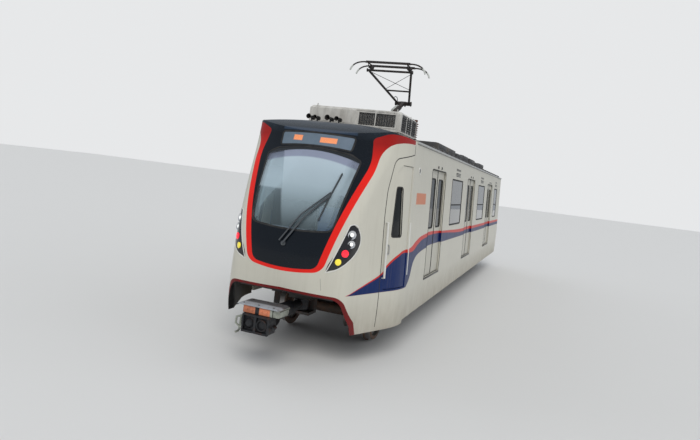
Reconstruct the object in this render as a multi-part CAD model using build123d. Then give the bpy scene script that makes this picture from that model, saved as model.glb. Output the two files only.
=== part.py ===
from build123d import *
import math
import os

# Metro car: one leading car with a cab at the front and a flat gangway end at the rear.
# Millimetres. X points to the nose, Y to the car's left side, Z up.
# Z is 0 under the wheel flanges, X and Y are 0 in the middle of the car.

# Body section
HALF_WIDTH = 1325.0
SKIRT_Z = 550.0
WAIST_Z = 1228.0
LEAN = 0.05
WALL_TOP_Z = 3228.0
GUTTER_Z = 3270.0
CROWN_Z = 3420.0
WALL = 90.0
FLOOR_Z = 1050.0
FLOOR_DEPTH = 150.0
CEILING_Z = 3120.0

# Lengths along the car
REAR_X = -7700.0
CAB_X = 6050.0
NOSE_X = 7700.0
COUPLER_TIP_X = 8300.0
BULKHEAD_X = 5880.0

# Passenger doors and windows
DOOR_X = [4130.0, -70.0, -4270.0]
DOOR_WIDTH = 1300.0
DOOR_TOP_Z = 2930.0
LEAF_THICK = 32.0
LEAF_INSET = 34.0
POCKET_IN = 28.0
POCKET_WIDE = 44.0
POCKET_RUN = 690.0
WINDOW_LOW_Z = 1900.0
WINDOW_HIGH_Z = 2830.0
WINDOW_X = [[2030.0, 1380.0], [-2170.0, 1380.0], [-6090.0, 900.0], [5330.0, 0.0]]

# Running gear
TREAD_R = 370.0
FLANGE_H = 28.0
AXLE_Z = TREAD_R + FLANGE_H
WHEEL_BACK_Y = 680.0
WHEEL_WIDE = 127.0
WHEELBASE = 1900.0
BOGIE_X = [4600.0, -4900.0]

# Nose plan: side bend, straight taper, corner arc and front arc
BEND_R = 1500.0
TAPER_DEG = 21.0
CORNER_R = 280.0
FRONT_R = 2600.0
NOSE_WALL = 60.0
NOSE_BOTTOM_Z = 500.0

os.makedirs("parts", exist_ok=True)


def box(x0, x1, y0, y1, z0, z1):
    return Pos((x0 + x1) / 2, (y0 + y1) / 2, (z0 + z1) / 2) * Box(x1 - x0, y1 - y0, z1 - z0)


def half_width(z):
    # Outer half width of the body at a height.
    return HALF_WIDTH - LEAN * max(0.0, z - WAIST_Z)


def save(shape, node):
    export_step(shape, "parts/" + node + ".step")
    return shape


def yz_face(points, x):
    # Closed face across the car from points of y and z.
    wire = Polyline(*[(x, y, z) for y, z in points], close=True)
    return make_face(wire)


def xz_prism(points, y0, y1):
    # Solid from an outline of x and z, between two values of y.
    wire = Polyline(*[(x, y0, z) for x, z in points], close=True)
    return extrude(make_face(wire), amount=y1 - y0, dir=(0, 1, 0))


# Nose

def nose_plan(z, front_x, inset):
    # Plan outline at one height, as a closed face of lines and arcs.
    side = half_width(z) - inset
    bend_r = BEND_R - inset
    angle = math.radians(TAPER_DEG)
    bend_end = (CAB_X + bend_r * math.sin(angle), side - bend_r * (1 - math.cos(angle)))
    bend_mid = (CAB_X + bend_r * math.sin(angle / 2), side - bend_r * (1 - math.cos(angle / 2)))
    front_r = FRONT_R - inset
    corner_r = CORNER_R - inset
    centre_x = front_x - inset - front_r
    # The corner arc's centre is corner_r inside the taper line and the front arc.
    run = (math.cos(angle), -math.sin(angle))
    inward = (-math.sin(angle), -math.cos(angle))
    base = (bend_end[0] + inward[0] * corner_r, bend_end[1] + inward[1] * corner_r)
    reach = front_r - corner_r
    dx = base[0] - centre_x
    dy = base[1]
    b = dx * run[0] + dy * run[1]
    c = dx * dx + dy * dy - reach * reach
    along = -b + math.sqrt(b * b - c)
    corner = (base[0] + run[0] * along, base[1] + run[1] * along)
    taper_end = (corner[0] - inward[0] * corner_r, corner[1] - inward[1] * corner_r)
    front_angle = math.atan2(corner[1], corner[0] - centre_x)
    front_end = (centre_x + front_r * math.cos(front_angle), front_r * math.sin(front_angle))
    middle_angle = (math.radians(90.0 - TAPER_DEG) + front_angle) / 2
    corner_mid = (corner[0] + corner_r * math.cos(middle_angle), corner[1] + corner_r * math.sin(middle_angle))

    def at(p, sign=1):
        return (p[0], sign * p[1], z)

    rear_x = CAB_X - (200.0 if inset else 0.0)
    start = (rear_x, side)
    bend_start = (CAB_X, side)
    edges = []
    if inset:
        edges.append(Line(at(start), at(bend_start)))
    edges.append(ThreePointArc(at(bend_start), at(bend_mid), at(bend_end)))
    edges.append(Line(at(bend_end), at(taper_end)))
    edges.append(ThreePointArc(at(taper_end), at(corner_mid), at(front_end)))
    edges.append(ThreePointArc(at(front_end), at((front_x - inset, 0.0)), at(front_end, -1)))
    edges.append(ThreePointArc(at(front_end, -1), at(corner_mid, -1), at(taper_end, -1)))
    edges.append(Line(at(taper_end, -1), at(bend_end, -1)))
    edges.append(ThreePointArc(at(bend_end, -1), at(bend_mid, -1), at(bend_start, -1)))
    if inset:
        edges.append(Line(at(bend_start, -1), at(start, -1)))
    edges.append(Line(at(start, -1), at(start)))
    return make_face(Wire(edges))


# Height and front of each plan section of the nose
NOSE_SECTIONS = [
    [NOSE_BOTTOM_Z, 7650.0],
    [1250.0, NOSE_X],
    [1800.0, 7655.0],
    [2400.0, 7420.0],
    [2950.0, 7110.0],
    [3500.0, 6985.0],
]


def nose_solid(inset):
    sections = [nose_plan(z, x, inset) for z, x in NOSE_SECTIONS]
    if inset:
        sections[0] = nose_plan(NOSE_BOTTOM_Z - 100.0, NOSE_SECTIONS[0][1], inset)
    body = loft(sections)
    crown = CROWN_Z - inset
    rear = CAB_X - 250.0
    edge_z = WALL_TOP_Z + 40.0 - inset
    across = Polyline((rear, -1400, 300), (rear, -1400, edge_z - 5), (rear, -1225, edge_z))
    arc = ThreePointArc((rear, -1225, edge_z), (rear, 0, crown), (rear, 1225, edge_z))
    down = Polyline((rear, 1225, edge_z), (rear, 1400, edge_z - 5), (rear, 1400, 300), (rear, -1400, 300))
    roof = extrude(make_face(Wire(across.edges() + arc.edges() + down.edges())), amount=2300, dir=(1, 0, 0))
    top = Line((rear, 0, crown), (6200, 0, crown))
    brow = ThreePointArc((6200, 0, crown), (6640, 0, crown - 62), (7060 - inset, 0, crown - 250))
    close = Polyline((7060 - inset, 0, crown - 250), (7900, 0, crown - 1500), (7900, 0, 300), (rear, 0, 300), (rear, 0, crown))
    side = make_face(Wire(top.edges() + brow.edges() + close.edges()))
    profile = extrude(side, amount=1400, dir=(0, 1, 0), both=True)
    return body & roof & profile



def front_prism(points, x0=5000.0, x1=8500.0, radii=None):
    # Solid along the car from an outline of y and z given for the left half, mirrored to the right.
    # Each point may carry a corner radius.
    half = [(x0, y, z) for y, z in points]
    mirrored = [(x0, -y, z) for y, z in reversed(points) if y > 0]
    face = make_face(Polyline(*(half + mirrored), close=True))
    if radii:
        for (y, z), radius in zip(points, radii):
            if radius:
                near = [v for v in face.vertices() if abs(abs(v.Y) - y) < 1 and abs(v.Z - z) < 1]
                face = fillet(near, radius)
    return extrude(face, amount=x1 - x0, dir=(1, 0, 0))


# Outlines seen from the front: left half as y and z, with corner radii
ARCH_OUT = [[960.0, 300.0], [925.0, 640.0], [800.0, 985.0], [0.0, 1015.0]]
ARCH_RADII = [0, 0, 160.0, 0]
LIP = 35.0
MASK_IN = [[0.0, 1240.0], [456.0, 1240.0], [790.0, 2630.0], [805.0, 3120.0], [900.0, 3262.0], [1300.0, 3275.0],
           [1300.0, 3600.0], [0.0, 3600.0]]
MASK_IN_RADII = [0, 210.0, 900.0, 120.0, 150.0, 0, 0, 0]
MASK_OUT = [[0.0, 1165.0], [490.0, 1165.0], [865.0, 2630.0], [950.0, 3080.0], [1120.0, 3200.0], [1300.0, 3215.0],
            [1300.0, 3600.0], [0.0, 3600.0]]
MASK_OUT_RADII = [0, 240.0, 900.0, 110.0, 150.0, 0, 0, 0]
SCREEN = [[0.0, 1790.0], [520.0, 1850.0], [630.0, 2780.0], [0.0, 2840.0]]
SCREEN_RADII = [0, 120.0, 90.0, 0]
DISPLAY = [[0.0, 2890.0], [560.0, 2900.0], [560.0, 3150.0], [0.0, 3180.0]]
DISPLAY_RADII = [0, 40.0, 60.0, 0]
GLASS = 12.0

# Shut line between the body and the nose module, as x and z
SHUT = [[6160.0, 3700.0], [6160.0, 3070.0], [6560.0, 2975.0], [6690.0, 2820.0], [6805.0, 2350.0], [6850.0, 1060.0],
        [6850.0, 300.0]]
CAB_DOORWAY = [[6165.0, 1085.0], [6765.0, 1085.0], [6735.0, 2330.0], [6625.0, 2770.0], [6500.0, 2880.0], [6165.0, 2880.0]]
CAB_DOOR_THICK = 45.0
CAB_DOOR_INSET = 12.0
CAB_DOOR_GAP = 8.0
CAB_WINDOW = [[6400.0, 1840.0], [6650.0, 1840.0], [6600.0, 2560.0], [6450.0, 2560.0]]


def build_nose():
    outer = nose_solid(0.0)
    inner = nose_solid(NOSE_WALL)
    glass_back = nose_solid(GLASS)
    shell = outer - inner
    arch = front_prism(ARCH_OUT, x0=7000.0, radii=ARCH_RADII)
    lip_outline = [[y + (LIP if y else 0.0), z + LIP] for y, z in ARCH_OUT]
    lip_outline[0][1] = ARCH_OUT[0][1]
    lip_cut = front_prism(lip_outline, x0=7000.0, radii=ARCH_RADII)
    mask_in = front_prism(MASK_IN, radii=MASK_IN_RADII)
    mask_out = front_prism(MASK_OUT, radii=MASK_OUT_RADII)
    screen = front_prism(SCREEN, x0=6700.0, radii=SCREEN_RADII)
    display = front_prism(DISPLAY, x0=6850.0, radii=DISPLAY_RADII)
    ahead = xz_prism(SHUT + [[8500.0, 300.0], [8500.0, 3700.0]], -1500.0, 1500.0)
    lights = headlight_cut()
    front = (shell & ahead) - arch
    lip = front & lip_cut
    white = front - lip_cut - mask_out - lights
    band = front & (mask_out - mask_in)
    mask = (front & mask_in) - screen - display
    skin = outer - glass_back
    save(skin & screen, "windscreen")
    save(skin & display, "route_display")
    save(lip, "arch_lip")
    save(white, "nose_panel")
    save(band, "nose_band")
    save(mask, "nose_mask")
    save((outer - nose_solid(45.0)) & lights & ahead, "headlights")
    build_cab_side(shell - ahead, outer)


HEADLIGHT = [[600.0, 1340.0], [700.0, 1400.0], [850.0, 1650.0], [905.0, 1860.0], [820.0, 1990.0], [745.0, 1900.0],
             [680.0, 1620.0]]


def headlight_cut():
    wire = Polyline(*[(7000.0, y, z) for y, z in HEADLIGHT], close=True)
    left = extrude(make_face(wire), amount=900.0, dir=(1, 0, 0))
    return left + mirror(left, Plane.XZ)


def cab_door_block(side, gap):
    # Block through the wall with the outline of the cab doorway, less a gap all round.
    wire = Polyline(*[(x, 800.0, z) for x, z in CAB_DOORWAY], close=True)
    face = make_face(wire)
    if gap:
        face = offset(face, amount=-gap)
    block = extrude(face, amount=700.0, dir=(0, 1, 0))
    return block if side > 0 else mirror(block, Plane.XZ)


def build_cab_side(rear_shell, outer):
    doorways = cab_door_block(1, 0.0) + cab_door_block(-1, 0.0)
    save(rear_shell - doorways, "cab_side")
    skin = nose_solid(CAB_DOOR_INSET) - nose_solid(CAB_DOOR_INSET + CAB_DOOR_THICK)
    pane = nose_solid(CAB_DOOR_INSET + 15.0) - nose_solid(CAB_DOOR_INSET + 23.0)
    window = xz_prism(CAB_WINDOW, 700.0, 1500.0)
    pane_hole = xz_prism([[6402.0, 1842.0], [6647.0, 1842.0], [6598.0, 2558.0], [6452.0, 2558.0]], 700.0, 1500.0)
    for side, name in ((1, "left"), (-1, "right")):
        hole = window if side > 0 else mirror(window, Plane.XZ)
        glass = pane_hole if side > 0 else mirror(pane_hole, Plane.XZ)
        leaf = (skin & cab_door_block(side, CAB_DOOR_GAP)) - hole
        save(Compound(children=[leaf.solids()[0], (pane & glass).solids()[0]]), "cab_door_" + name)


# Body

def side_profile(y_out, y_in, z0, z1):
    # Outline across one side wall between two depths from the outer face.
    zs = [z0] + ([WAIST_Z] if z0 < WAIST_Z < z1 else []) + [z1]
    out = [(half_width(z) - y_out, z) for z in zs]
    back = [(half_width(z) - y_in, z) for z in reversed(zs)]
    return out + back


def side_slab(x0, x1, y_out, y_in, z0, z1):
    # Slab of the left side wall between two depths from its outer face.
    return extrude(yz_face(side_profile(y_out, y_in, z0, z1), x0), amount=x1 - x0, dir=(1, 0, 0))


def build_sides():
    wall = side_slab(REAR_X, CAB_X, 0.0, WALL, SKIRT_Z, WALL_TOP_Z)
    for x in DOOR_X:
        half = DOOR_WIDTH / 2
        wall -= side_slab(x - half, x + half, -20.0, WALL + 20.0, FLOOR_Z, DOOR_TOP_Z)
        run = half + POCKET_RUN
        wall -= side_slab(x - run, x + run, POCKET_IN, POCKET_IN + POCKET_WIDE, FLOOR_Z, DOOR_TOP_Z)
    panes = []
    for x, wide in WINDOW_X:
        if wide:
            wall -= side_slab(x - wide / 2, x + wide / 2, -20.0, WALL + 20.0, WINDOW_LOW_Z, WINDOW_HIGH_Z)
            pane = side_slab(x - wide / 2, x + wide / 2, 4.0, 14.0, WINDOW_LOW_Z, WINDOW_HIGH_Z)
            panes.append(pane)
            panes.append(mirror(pane, Plane.XZ))
    save(wall, "left_side")
    save(mirror(wall, Plane.XZ), "right_side")
    save(Compound(children=[p.solids()[0] for p in panes]), "side_windows")


def build_roof():
    edge = half_width(WALL_TOP_Z)
    lip = edge + 22.0
    start = (REAR_X, edge, WALL_TOP_Z)
    under = Polyline((REAR_X, lip, GUTTER_Z), (REAR_X, lip, GUTTER_Z - 26), (REAR_X, edge, GUTTER_Z - 26), start,
                     (REAR_X, edge - WALL, WALL_TOP_Z), (REAR_X, 1000, CEILING_Z), (REAR_X, -1000, CEILING_Z),
                     (REAR_X, -edge + WALL, WALL_TOP_Z), (REAR_X, -edge, WALL_TOP_Z), (REAR_X, -edge, GUTTER_Z - 26),
                     (REAR_X, -lip, GUTTER_Z - 26), (REAR_X, -lip, GUTTER_Z))
    arc = ThreePointArc((REAR_X, -lip, GUTTER_Z), (REAR_X, 0, CROWN_Z), (REAR_X, lip, GUTTER_Z))
    face = make_face(Wire(under.edges() + arc.edges()))
    save(extrude(face, amount=CAB_X - REAR_X, dir=(1, 0, 0)), "roof")


def build_floor():
    inner = HALF_WIDTH - WALL
    deck = box(REAR_X, CAB_X, -inner, inner, FLOOR_Z - FLOOR_DEPTH, FLOOR_Z)
    for x in BOGIE_X:
        deck += Pos(x, 0, 810) * Cylinder(80, 182)
    save(deck, "floor")
    cab = box(CAB_X, 6560, -1040, 1040, FLOOR_Z - FLOOR_DEPTH, FLOOR_Z) + box(6560, 7500, -700, 700, FLOOR_Z - 100, FLOOR_Z)
    save(cab, "cab_floor")


def build_rear_wall():
    wall = extrude(yz_face([(half_width(FLOOR_Z) - WALL, FLOOR_Z), (half_width(WALL_TOP_Z) - WALL, WALL_TOP_Z - 60),
                            (1000, CEILING_Z - 0.0), (-1000, CEILING_Z - 0.0),
                            (-half_width(WALL_TOP_Z) + WALL, WALL_TOP_Z - 60), (-half_width(FLOOR_Z) + WALL, FLOOR_Z)],
                           REAR_X), amount=60.0, dir=(1, 0, 0))
    wall -= box(REAR_X - 10, REAR_X + 100, -550, 550, FLOOR_Z, 3000)
    save(wall, "rear_wall")


def build_bulkhead():
    wall = box(BULKHEAD_X, BULKHEAD_X + 40, -1130, 1130, FLOOR_Z, CEILING_Z)
    wall -= box(BULKHEAD_X - 10, BULKHEAD_X + 60, -330, 330, FLOOR_Z, 2950)
    save(wall, "cab_bulkhead")


# Doors

def leaf_solid(x0, x1):
    # One leaf with its window opening and the pane set in it.
    y0 = LEAF_INSET
    y1 = LEAF_INSET + LEAF_THICK
    panel = side_slab(x0, x1, y0, y1, FLOOR_Z + 8, DOOR_TOP_Z - 8)
    rim = 130.0
    panel -= side_slab(x0 + rim, x1 - rim, y0 - 5, y1 + 5, WINDOW_LOW_Z, WINDOW_HIGH_Z - 60)
    pane = side_slab(x0 + rim + 1, x1 - rim - 1, y0 + 8, y1 - 8, WINDOW_LOW_Z + 1, WINDOW_HIGH_Z - 61)
    return panel, pane


def build_leaves():
    half = DOOR_WIDTH / 2
    for number, x in enumerate(DOOR_X, start=1):
        for part, x0, x1 in (("a", x + 3, x + half + 30), ("b", x - half - 30, x - 3)):
            panel, pane = leaf_solid(x0, x1)
            save(Compound(children=[panel.solids()[0], pane.solids()[0]]), "left_door_%d%s" % (number, part))
            other = [mirror(panel, Plane.XZ).solids()[0], mirror(pane, Plane.XZ).solids()[0]]
            save(Compound(children=other), "right_door_%d%s" % (number, part))


# Bogies

def wheelset(x):
    r = TREAD_R
    y0 = WHEEL_BACK_Y
    y1 = y0 + WHEEL_WIDE
    flange = TREAD_R + FLANGE_H
    points = [(0, y0 - 40), (105, y0 - 40), (120, y0 + 10), (r - 70, y0 + 45), (r - 60, y0), (flange - 8, y0),
              (flange, y0 + 12), (flange - 4, y0 + 24), (r + 3, y0 + 34), (r - 3, y1 - 8), (r - 10, y1),
              (r - 60, y1), (r - 70, y0 + 75), (120, y0 + 90), (100, y1 + 20), (0, y1 + 20)]
    wire = Polyline(*[(x + rad, y, AXLE_Z) for rad, y in points], close=True)
    wheel = revolve(make_face(wire), Axis((x, 0, AXLE_Z), (0, 1, 0)), 360)
    axle = Pos(x, 0, AXLE_Z) * Rot(90, 0, 0) * Cylinder(80, 2 * y0 + 20)
    stub = Pos(x, 0, AXLE_Z) * Rot(90, 0, 0) * Cylinder(62, 2 * (y1 + 150))
    disc = Pos(x, 330, AXLE_Z) * Rot(90, 0, 0) * Cylinder(250, 60)
    return wheel + mirror(wheel, Plane.XZ) + axle + stub + disc


BOX_Y0 = 840.0
BOX_Y1 = 1000.0


def bogie_frame(x):
    # H-shaped frame: two side beams over the axle boxes, a transom and the motors.
    half = WHEELBASE / 2
    frame = None
    for s in (1, -1):
        y0, y1 = (BOX_Y0, BOX_Y1) if s > 0 else (-BOX_Y1, -BOX_Y0)
        outline = [(x - half - 300, 560), (x - half - 300, 680), (x - half + 280, 700), (x - 420, 560), (x + 420, 560),
                   (x + half - 280, 700), (x + half + 300, 680), (x + half + 300, 560), (x + half - 300, 560),
                   (x + 460, 430), (x - 460, 430), (x - half + 300, 560)]
        beam = xz_prism(outline, y0, y1)
        for e in (1, -1):
            ax = x + e * half
            beam += box(ax - 120, ax + 120, y0, y1, AXLE_Z + 62.05, 600)
            beam += box(ax - 200, ax - 62.1, y0 + 10, y1 - 10, AXLE_Z - 60, 600)
            beam += box(ax + 62.1, ax + 200, y0 + 10, y1 - 10, AXLE_Z - 60, 600)
        frame = beam if frame is None else frame + beam
    frame += box(x - 190, x + 190, -BOX_Y1, BOX_Y1, 440, 600)
    frame += Pos(x, 0, 720) * Cylinder(250, 280)
    frame -= Pos(x, 0, 810) * Cylinder(80.1, 190)
    for s in (1, -1):
        frame += Pos(x, s * 760, 735) * Cylinder(230, 310)
        motor = Pos(x + s * 400, -s * 130, 480) * Rot(90, 0, 0) * Cylinder(200, 620)
        frame += motor
        frame += box(x + s * 170 - 60, x + s * 170 + 60, -s * 130 - 200, -s * 130 + 200, 440, 560)
    return frame


def build_bogies():
    for name, x in zip(("front", "rear"), BOGIE_X):
        save(bogie_frame(x), name + "_bogie_frame")
        save(wheelset(x + WHEELBASE / 2), name + "_wheelset_a")
        save(wheelset(x - WHEELBASE / 2), name + "_wheelset_b")


# Underfloor gear
UNDER_BOXES = [[2950.0, 2250.0, -1150.0, -200.0, 480.0], [2080.0, 1350.0, -1150.0, 0.0, 440.0],
               [2950.0, 1500.0, 250.0, 1150.0, 460.0], [1250.0, 100.0, 150.0, 1150.0, 520.0],
               [1150.0, 300.0, -1150.0, -250.0, 450.0], [-100.0, -1500.0, 250.0, 1150.0, 440.0],
               [100.0, -1300.0, -1150.0, -300.0, 460.0], [-1700.0, -3200.0, -1150.0, -150.0, 470.0],
               [-1700.0, -3150.0, 200.0, 1150.0, 500.0]]


def build_underfloor():
    gear = []
    for x1, x0, y0, y1, z0 in UNDER_BOXES:
        block = box(x0, x1, y0, y1, z0, FLOOR_Z - FLOOR_DEPTH)
        gear.append(fillet(block.edges().filter_by(Axis.X).group_by(Axis.Z)[0], 40).solids()[0])
    save(Compound(children=gear), "underfloor_cases")


# Couplers
COUPLER_Z = 700.0
COUPLER_PIVOT_X = 6900.0


def front_coupler():
    shank = Pos((COUPLER_PIVOT_X + 7950) / 2, 0, COUPLER_Z) * Rot(0, 90, 0) * Cylinder(75, 7950 - COUPLER_PIVOT_X)
    eye = Pos(COUPLER_PIVOT_X, 0, COUPLER_Z) * Cylinder(110, 150)
    head = box(7900, COUPLER_TIP_X, -210, 210, 540, 860)
    head = chamfer(head.edges().filter_by(Axis.X), 50)
    cone = Pos(COUPLER_TIP_X - 30, -110, COUPLER_Z) * Rot(0, 90, 0) * Cone(70, 35, 60)
    body = shank + eye + head + cone
    body -= Pos(COUPLER_TIP_X - 50, 110, COUPLER_Z) * Rot(0, 90, 0) * Cylinder(65, 120)
    body += box(7960, 8240, -190, 190, 855, 890)
    return body


def build_couplers():
    save(front_coupler(), "front_coupler")
    bracket = box(6780, 6985, -170, 170, 800, 950.0) + box(6780, 6985, -170, 170, 560, 600) + box(6700, 6782, -170, 170, 560, 950.0)
    bracket += box(6782, 6985, -170, 170, 776, 805)
    bracket -= box(6782.5, 7100, -200, 200, 620, 780)
    save(bracket, "coupler_bracket")
    bar = Pos(-7900, 0, COUPLER_Z) * Rot(0, 90, 0) * Cylinder(70, 500)
    flange = Pos(-8270, 0, COUPLER_Z) * Rot(0, 90, 0) * Cylinder(150, 60)
    neck = Pos(-8200, 0, COUPLER_Z) * Rot(0, 90, 0) * Cylinder(70, 120)
    eye = Pos(-7600, 0, COUPLER_Z) * Cylinder(110, 150)
    body = bar + flange + neck + eye
    for k in range(4):
        angle = math.radians(45 + 90 * k)
        y = 115.0 * math.cos(angle)
        z = COUPLER_Z + 115.0 * math.sin(angle)
        body -= Pos(-8270, y, z) * Rot(0, 90, 0) * Cylinder(13, 80)
    save(body, "rear_coupler")
    rear = box(-7690, -7470, -170, 170, 780, 900.0) + box(-7480, -7400, -170, 170, 560, 900.0) + box(-7690, -7470, -170, 170, 560, 620)
    save(rear, "rear_bracket")


def build_gangway():
    # Folds of the bellows, fused on a thin inner sleeve.
    outer = (700.0, 3080.0, 940.0)
    folds = box(-8120, REAR_X, -640, 640, 1000, 3040) - box(-8200, REAR_X + 50, -570, 570, FLOOR_Z, 2960)
    for k in range(6):
        x = -8110 + k * 70
        ring = box(x, x + 40, -outer[0], outer[0], outer[2], outer[1]) - box(x - 5, x + 50, -600, 600, 1040, 2980)
        folds += ring
    folds -= box(-8200, REAR_X + 50, -570, 570, FLOOR_Z, 2960)
    save(folds, "gangway_bellows")


# Roof gear
AC_FRONT_X = 5600.0
AC_LENGTH = 1050.0
AC_HALF = 800.0
AC_TOP_Z = 3750.0


def roof_z(y):
    # Height of the roof's surface at a distance from the middle.
    half = half_width(WALL_TOP_Z) + 22.0
    rise = CROWN_Z - GUTTER_Z
    r = (half * half + rise * rise) / (2 * rise)
    return CROWN_Z - r + math.sqrt(r * r - y * y)


def build_ac():
    x0 = AC_FRONT_X - AC_LENGTH
    case = box(x0, AC_FRONT_X, -AC_HALF, AC_HALF, roof_z(0) + 1, AC_TOP_Z)
    case += box(x0 + 60, AC_FRONT_X - 60, -AC_HALF + 30, AC_HALF - 30, roof_z(AC_HALF) + 30, AC_TOP_Z - 100) - roof_block()
    case = chamfer(case.faces().sort_by(Axis.Z)[-1].edges(), 40)
    case -= box(AC_FRONT_X - 40, AC_FRONT_X + 10, 80, 700, 3470, AC_TOP_Z - 60)
    save(case, "ac_case")
    grille = box(AC_FRONT_X - 25, AC_FRONT_X - 5, 80, 700, 3470, AC_TOP_Z - 60)
    cells = None
    for i in range(14):
        for j in range(5):
            hole = box(AC_FRONT_X - 40, AC_FRONT_X + 10, 92 + i * 43, 92 + i * 43 + 33, 3480 + j * 42, 3480 + j * 42 + 32)
            cells = hole if cells is None else cells + hole
    save(grille - cells, "ac_grille")


def roof_block():
    # Everything under the roof's surface, to cut roof gear to it.
    lip = half_width(WALL_TOP_Z) + 22.0
    arc = ThreePointArc((REAR_X, -lip, GUTTER_Z), (REAR_X, 0, CROWN_Z), (REAR_X, lip, GUTTER_Z))
    low = Polyline((REAR_X, lip, GUTTER_Z), (REAR_X, lip, 2000), (REAR_X, -lip, 2000), (REAR_X, -lip, GUTTER_Z))
    return extrude(make_face(Wire(arc.edges() + low.edges())), amount=CAB_X - REAR_X, dir=(1, 0, 0))


ROOF_CASES = [[-400.0, 1900.0, 800.0, 3720.0], [-2600.0, -700.0, 700.0, 3660.0], [-6400.0, -3000.0, 800.0, 3740.0]]


def build_roof_gear():
    under = roof_block()
    gear = []
    for x0, x1, half, top in ROOF_CASES:
        case = box(x0, x1, -half, half, GUTTER_Z, top) - under
        gear.append(case.solids()[0])
    save(Compound(children=gear), "roof_cases")


# Pantograph
PAN_BASE_X = 4150.0
PAN_BASE_Z = 3640.0
KNEE_X = 2700.0
KNEE_Z = 4280.0
HEAD_X = 3950.0
HEAD_Z = 4690.0


def rod(p, q, r):
    # Round bar between two points.
    a = Vector(*p)
    b = Vector(*q)
    plane = Plane(origin=a, z_dir=(b - a))
    return extrude(plane * Circle(r), amount=(b - a).length)


def build_pantograph():
    base = None
    for y in (-420.0, 420.0):
        bar = rod((3300, y, 3560), (4450, y, 3560), 30)
        base = bar if base is None else base + bar
    for x in (3330.0, 4150.0, 4420.0):
        base += rod((x, -420, 3560), (x, 420, 3560), 30)
    for x in (3330.0, 4420.0):
        for y in (-420.0, 420.0):
            foot = rod((x, y, roof_z(y) - 30), (x, y, 3560), 38)
            base += foot
            for k in range(3):
                base += Pos(x, y, roof_z(y) + 40 + 35 * k) * Cylinder(62, 14)
    for y in (-130.0, 130.0):
        base += box(PAN_BASE_X - 60, PAN_BASE_X + 60, y - 15, y + 15, 3560, PAN_BASE_Z + 50)
    save(base - roof_block(), "pantograph_base")
    lower = rod((PAN_BASE_X, -105, PAN_BASE_Z), (PAN_BASE_X, 105, PAN_BASE_Z), 40)
    lower += rod((PAN_BASE_X, 0, PAN_BASE_Z), (KNEE_X, 0, KNEE_Z), 42)
    lower += rod((KNEE_X, -60, KNEE_Z), (KNEE_X, 60, KNEE_Z), 45)
    save(lower, "pantograph_lower_arm")
    upper = None
    for s in (1, -1):
        arm = rod((KNEE_X, s * 70, KNEE_Z), (KNEE_X, s * 160, KNEE_Z), 40)
        arm += rod((KNEE_X, s * 120, KNEE_Z), (HEAD_X, s * 420, HEAD_Z), 22)
        upper = arm if upper is None else upper + arm
    upper += rod((HEAD_X, -440, HEAD_Z), (HEAD_X, 440, HEAD_Z), 20)
    upper += rod((KNEE_X + 520, -240, KNEE_Z + 170), (KNEE_X + 520, 240, KNEE_Z + 170), 16)
    save(upper, "pantograph_upper_arm")
    head = None
    for x in (HEAD_X - 180, HEAD_X + 180):
        strip = box(x - 25, x + 25, -440, 440, 4790, 4830)
        for s in (1, -1):
            strip += rod((x, s * 430, 4808), (x, s * 640, 4740), 16)
            strip += rod((x, s * 636, 4742), (x, s * 730, 4640), 16)
        head = strip if head is None else head + strip
    for s in (1, -1):
        head += rod((HEAD_X - 180, s * 380, 4790), (HEAD_X + 180, s * 380, 4790), 14)
        head += box(HEAD_X - 25, HEAD_X + 25, s * 380 - 12, s * 380 + 12, HEAD_Z + 30, 4790)
    save(head, "pantograph_head")


# Cab and saloon
def build_inside():
    desk = xz_prism([(6800, FLOOR_Z), (6800, 1500), (6700, 1760), (7450, 1820), (7450, 1400), (7330, FLOOR_Z)], -640, 640)
    save(desk, "cab_desk")
    seat = box(6150, 6600, -240, 240, 1480, 1580) + box(6100, 6200, -230, 230, 1560, 2150) + box(6330, 6430, -50, 50, FLOOR_Z, 1500)
    save(seat, "cab_seat")
    benches = []
    for x0, x1 in ((1500.0, 2600.0), (-2700.0, -1600.0), (-7000.0, -5300.0), (5000.0, 5800.0)):
        for s in (1, -1):
            y0, y1 = (780.0, 1200.0) if s > 0 else (-1200.0, -780.0)
            back = (1130.0, 1200.0) if s > 0 else (-1200.0, -1130.0)
            bench = box(x0, x1, y0, y1, 1420, 1500) + box(x0, x1, back[0], back[1], 1490, 1890)
            bench += box(x0 + 60, x1 - 60, (y0 + y1) / 2 - 60, (y0 + y1) / 2 + 60, FLOOR_Z, 1430)
            benches.append(bench.solids()[0])
    save(Compound(children=benches), "saloon_seats")
    poles = []
    for y in (-620.0, 620.0):
        poles.append(rod((-7200, y, 2950), (5600, y, 2950), 17).solids()[0])
        for x in DOOR_X:
            for e in (-900.0, 900.0):
                poles.append(rod((x + e, y + (40 if y > 0 else -40), FLOOR_Z), (x + e, y + (40 if y > 0 else -40), CEILING_Z), 17).solids()[0])
    save(Compound(children=poles), "grab_poles")


def build_handrails():
    rails = []
    for s in (1, -1):
        for x, y, z0, z1 in ((6110.0, 1336.0, 1240.0, 2080.0),):
            rails.append(rod((x, s * y, z0), (x, s * y, z1), 14).solids()[0])
    save(Compound(children=rails), "handrails")


build_nose()
build_sides()
build_roof()
build_floor()
build_rear_wall()
build_bulkhead()
build_leaves()
build_bogies()
build_underfloor()
build_couplers()
build_gangway()
build_ac()
build_roof_gear()
build_pantograph()
build_inside()
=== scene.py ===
import math

import bmesh
import bpy
from mathutils import Matrix, Vector
from mathutils.bvhtree import BVHTree


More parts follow.
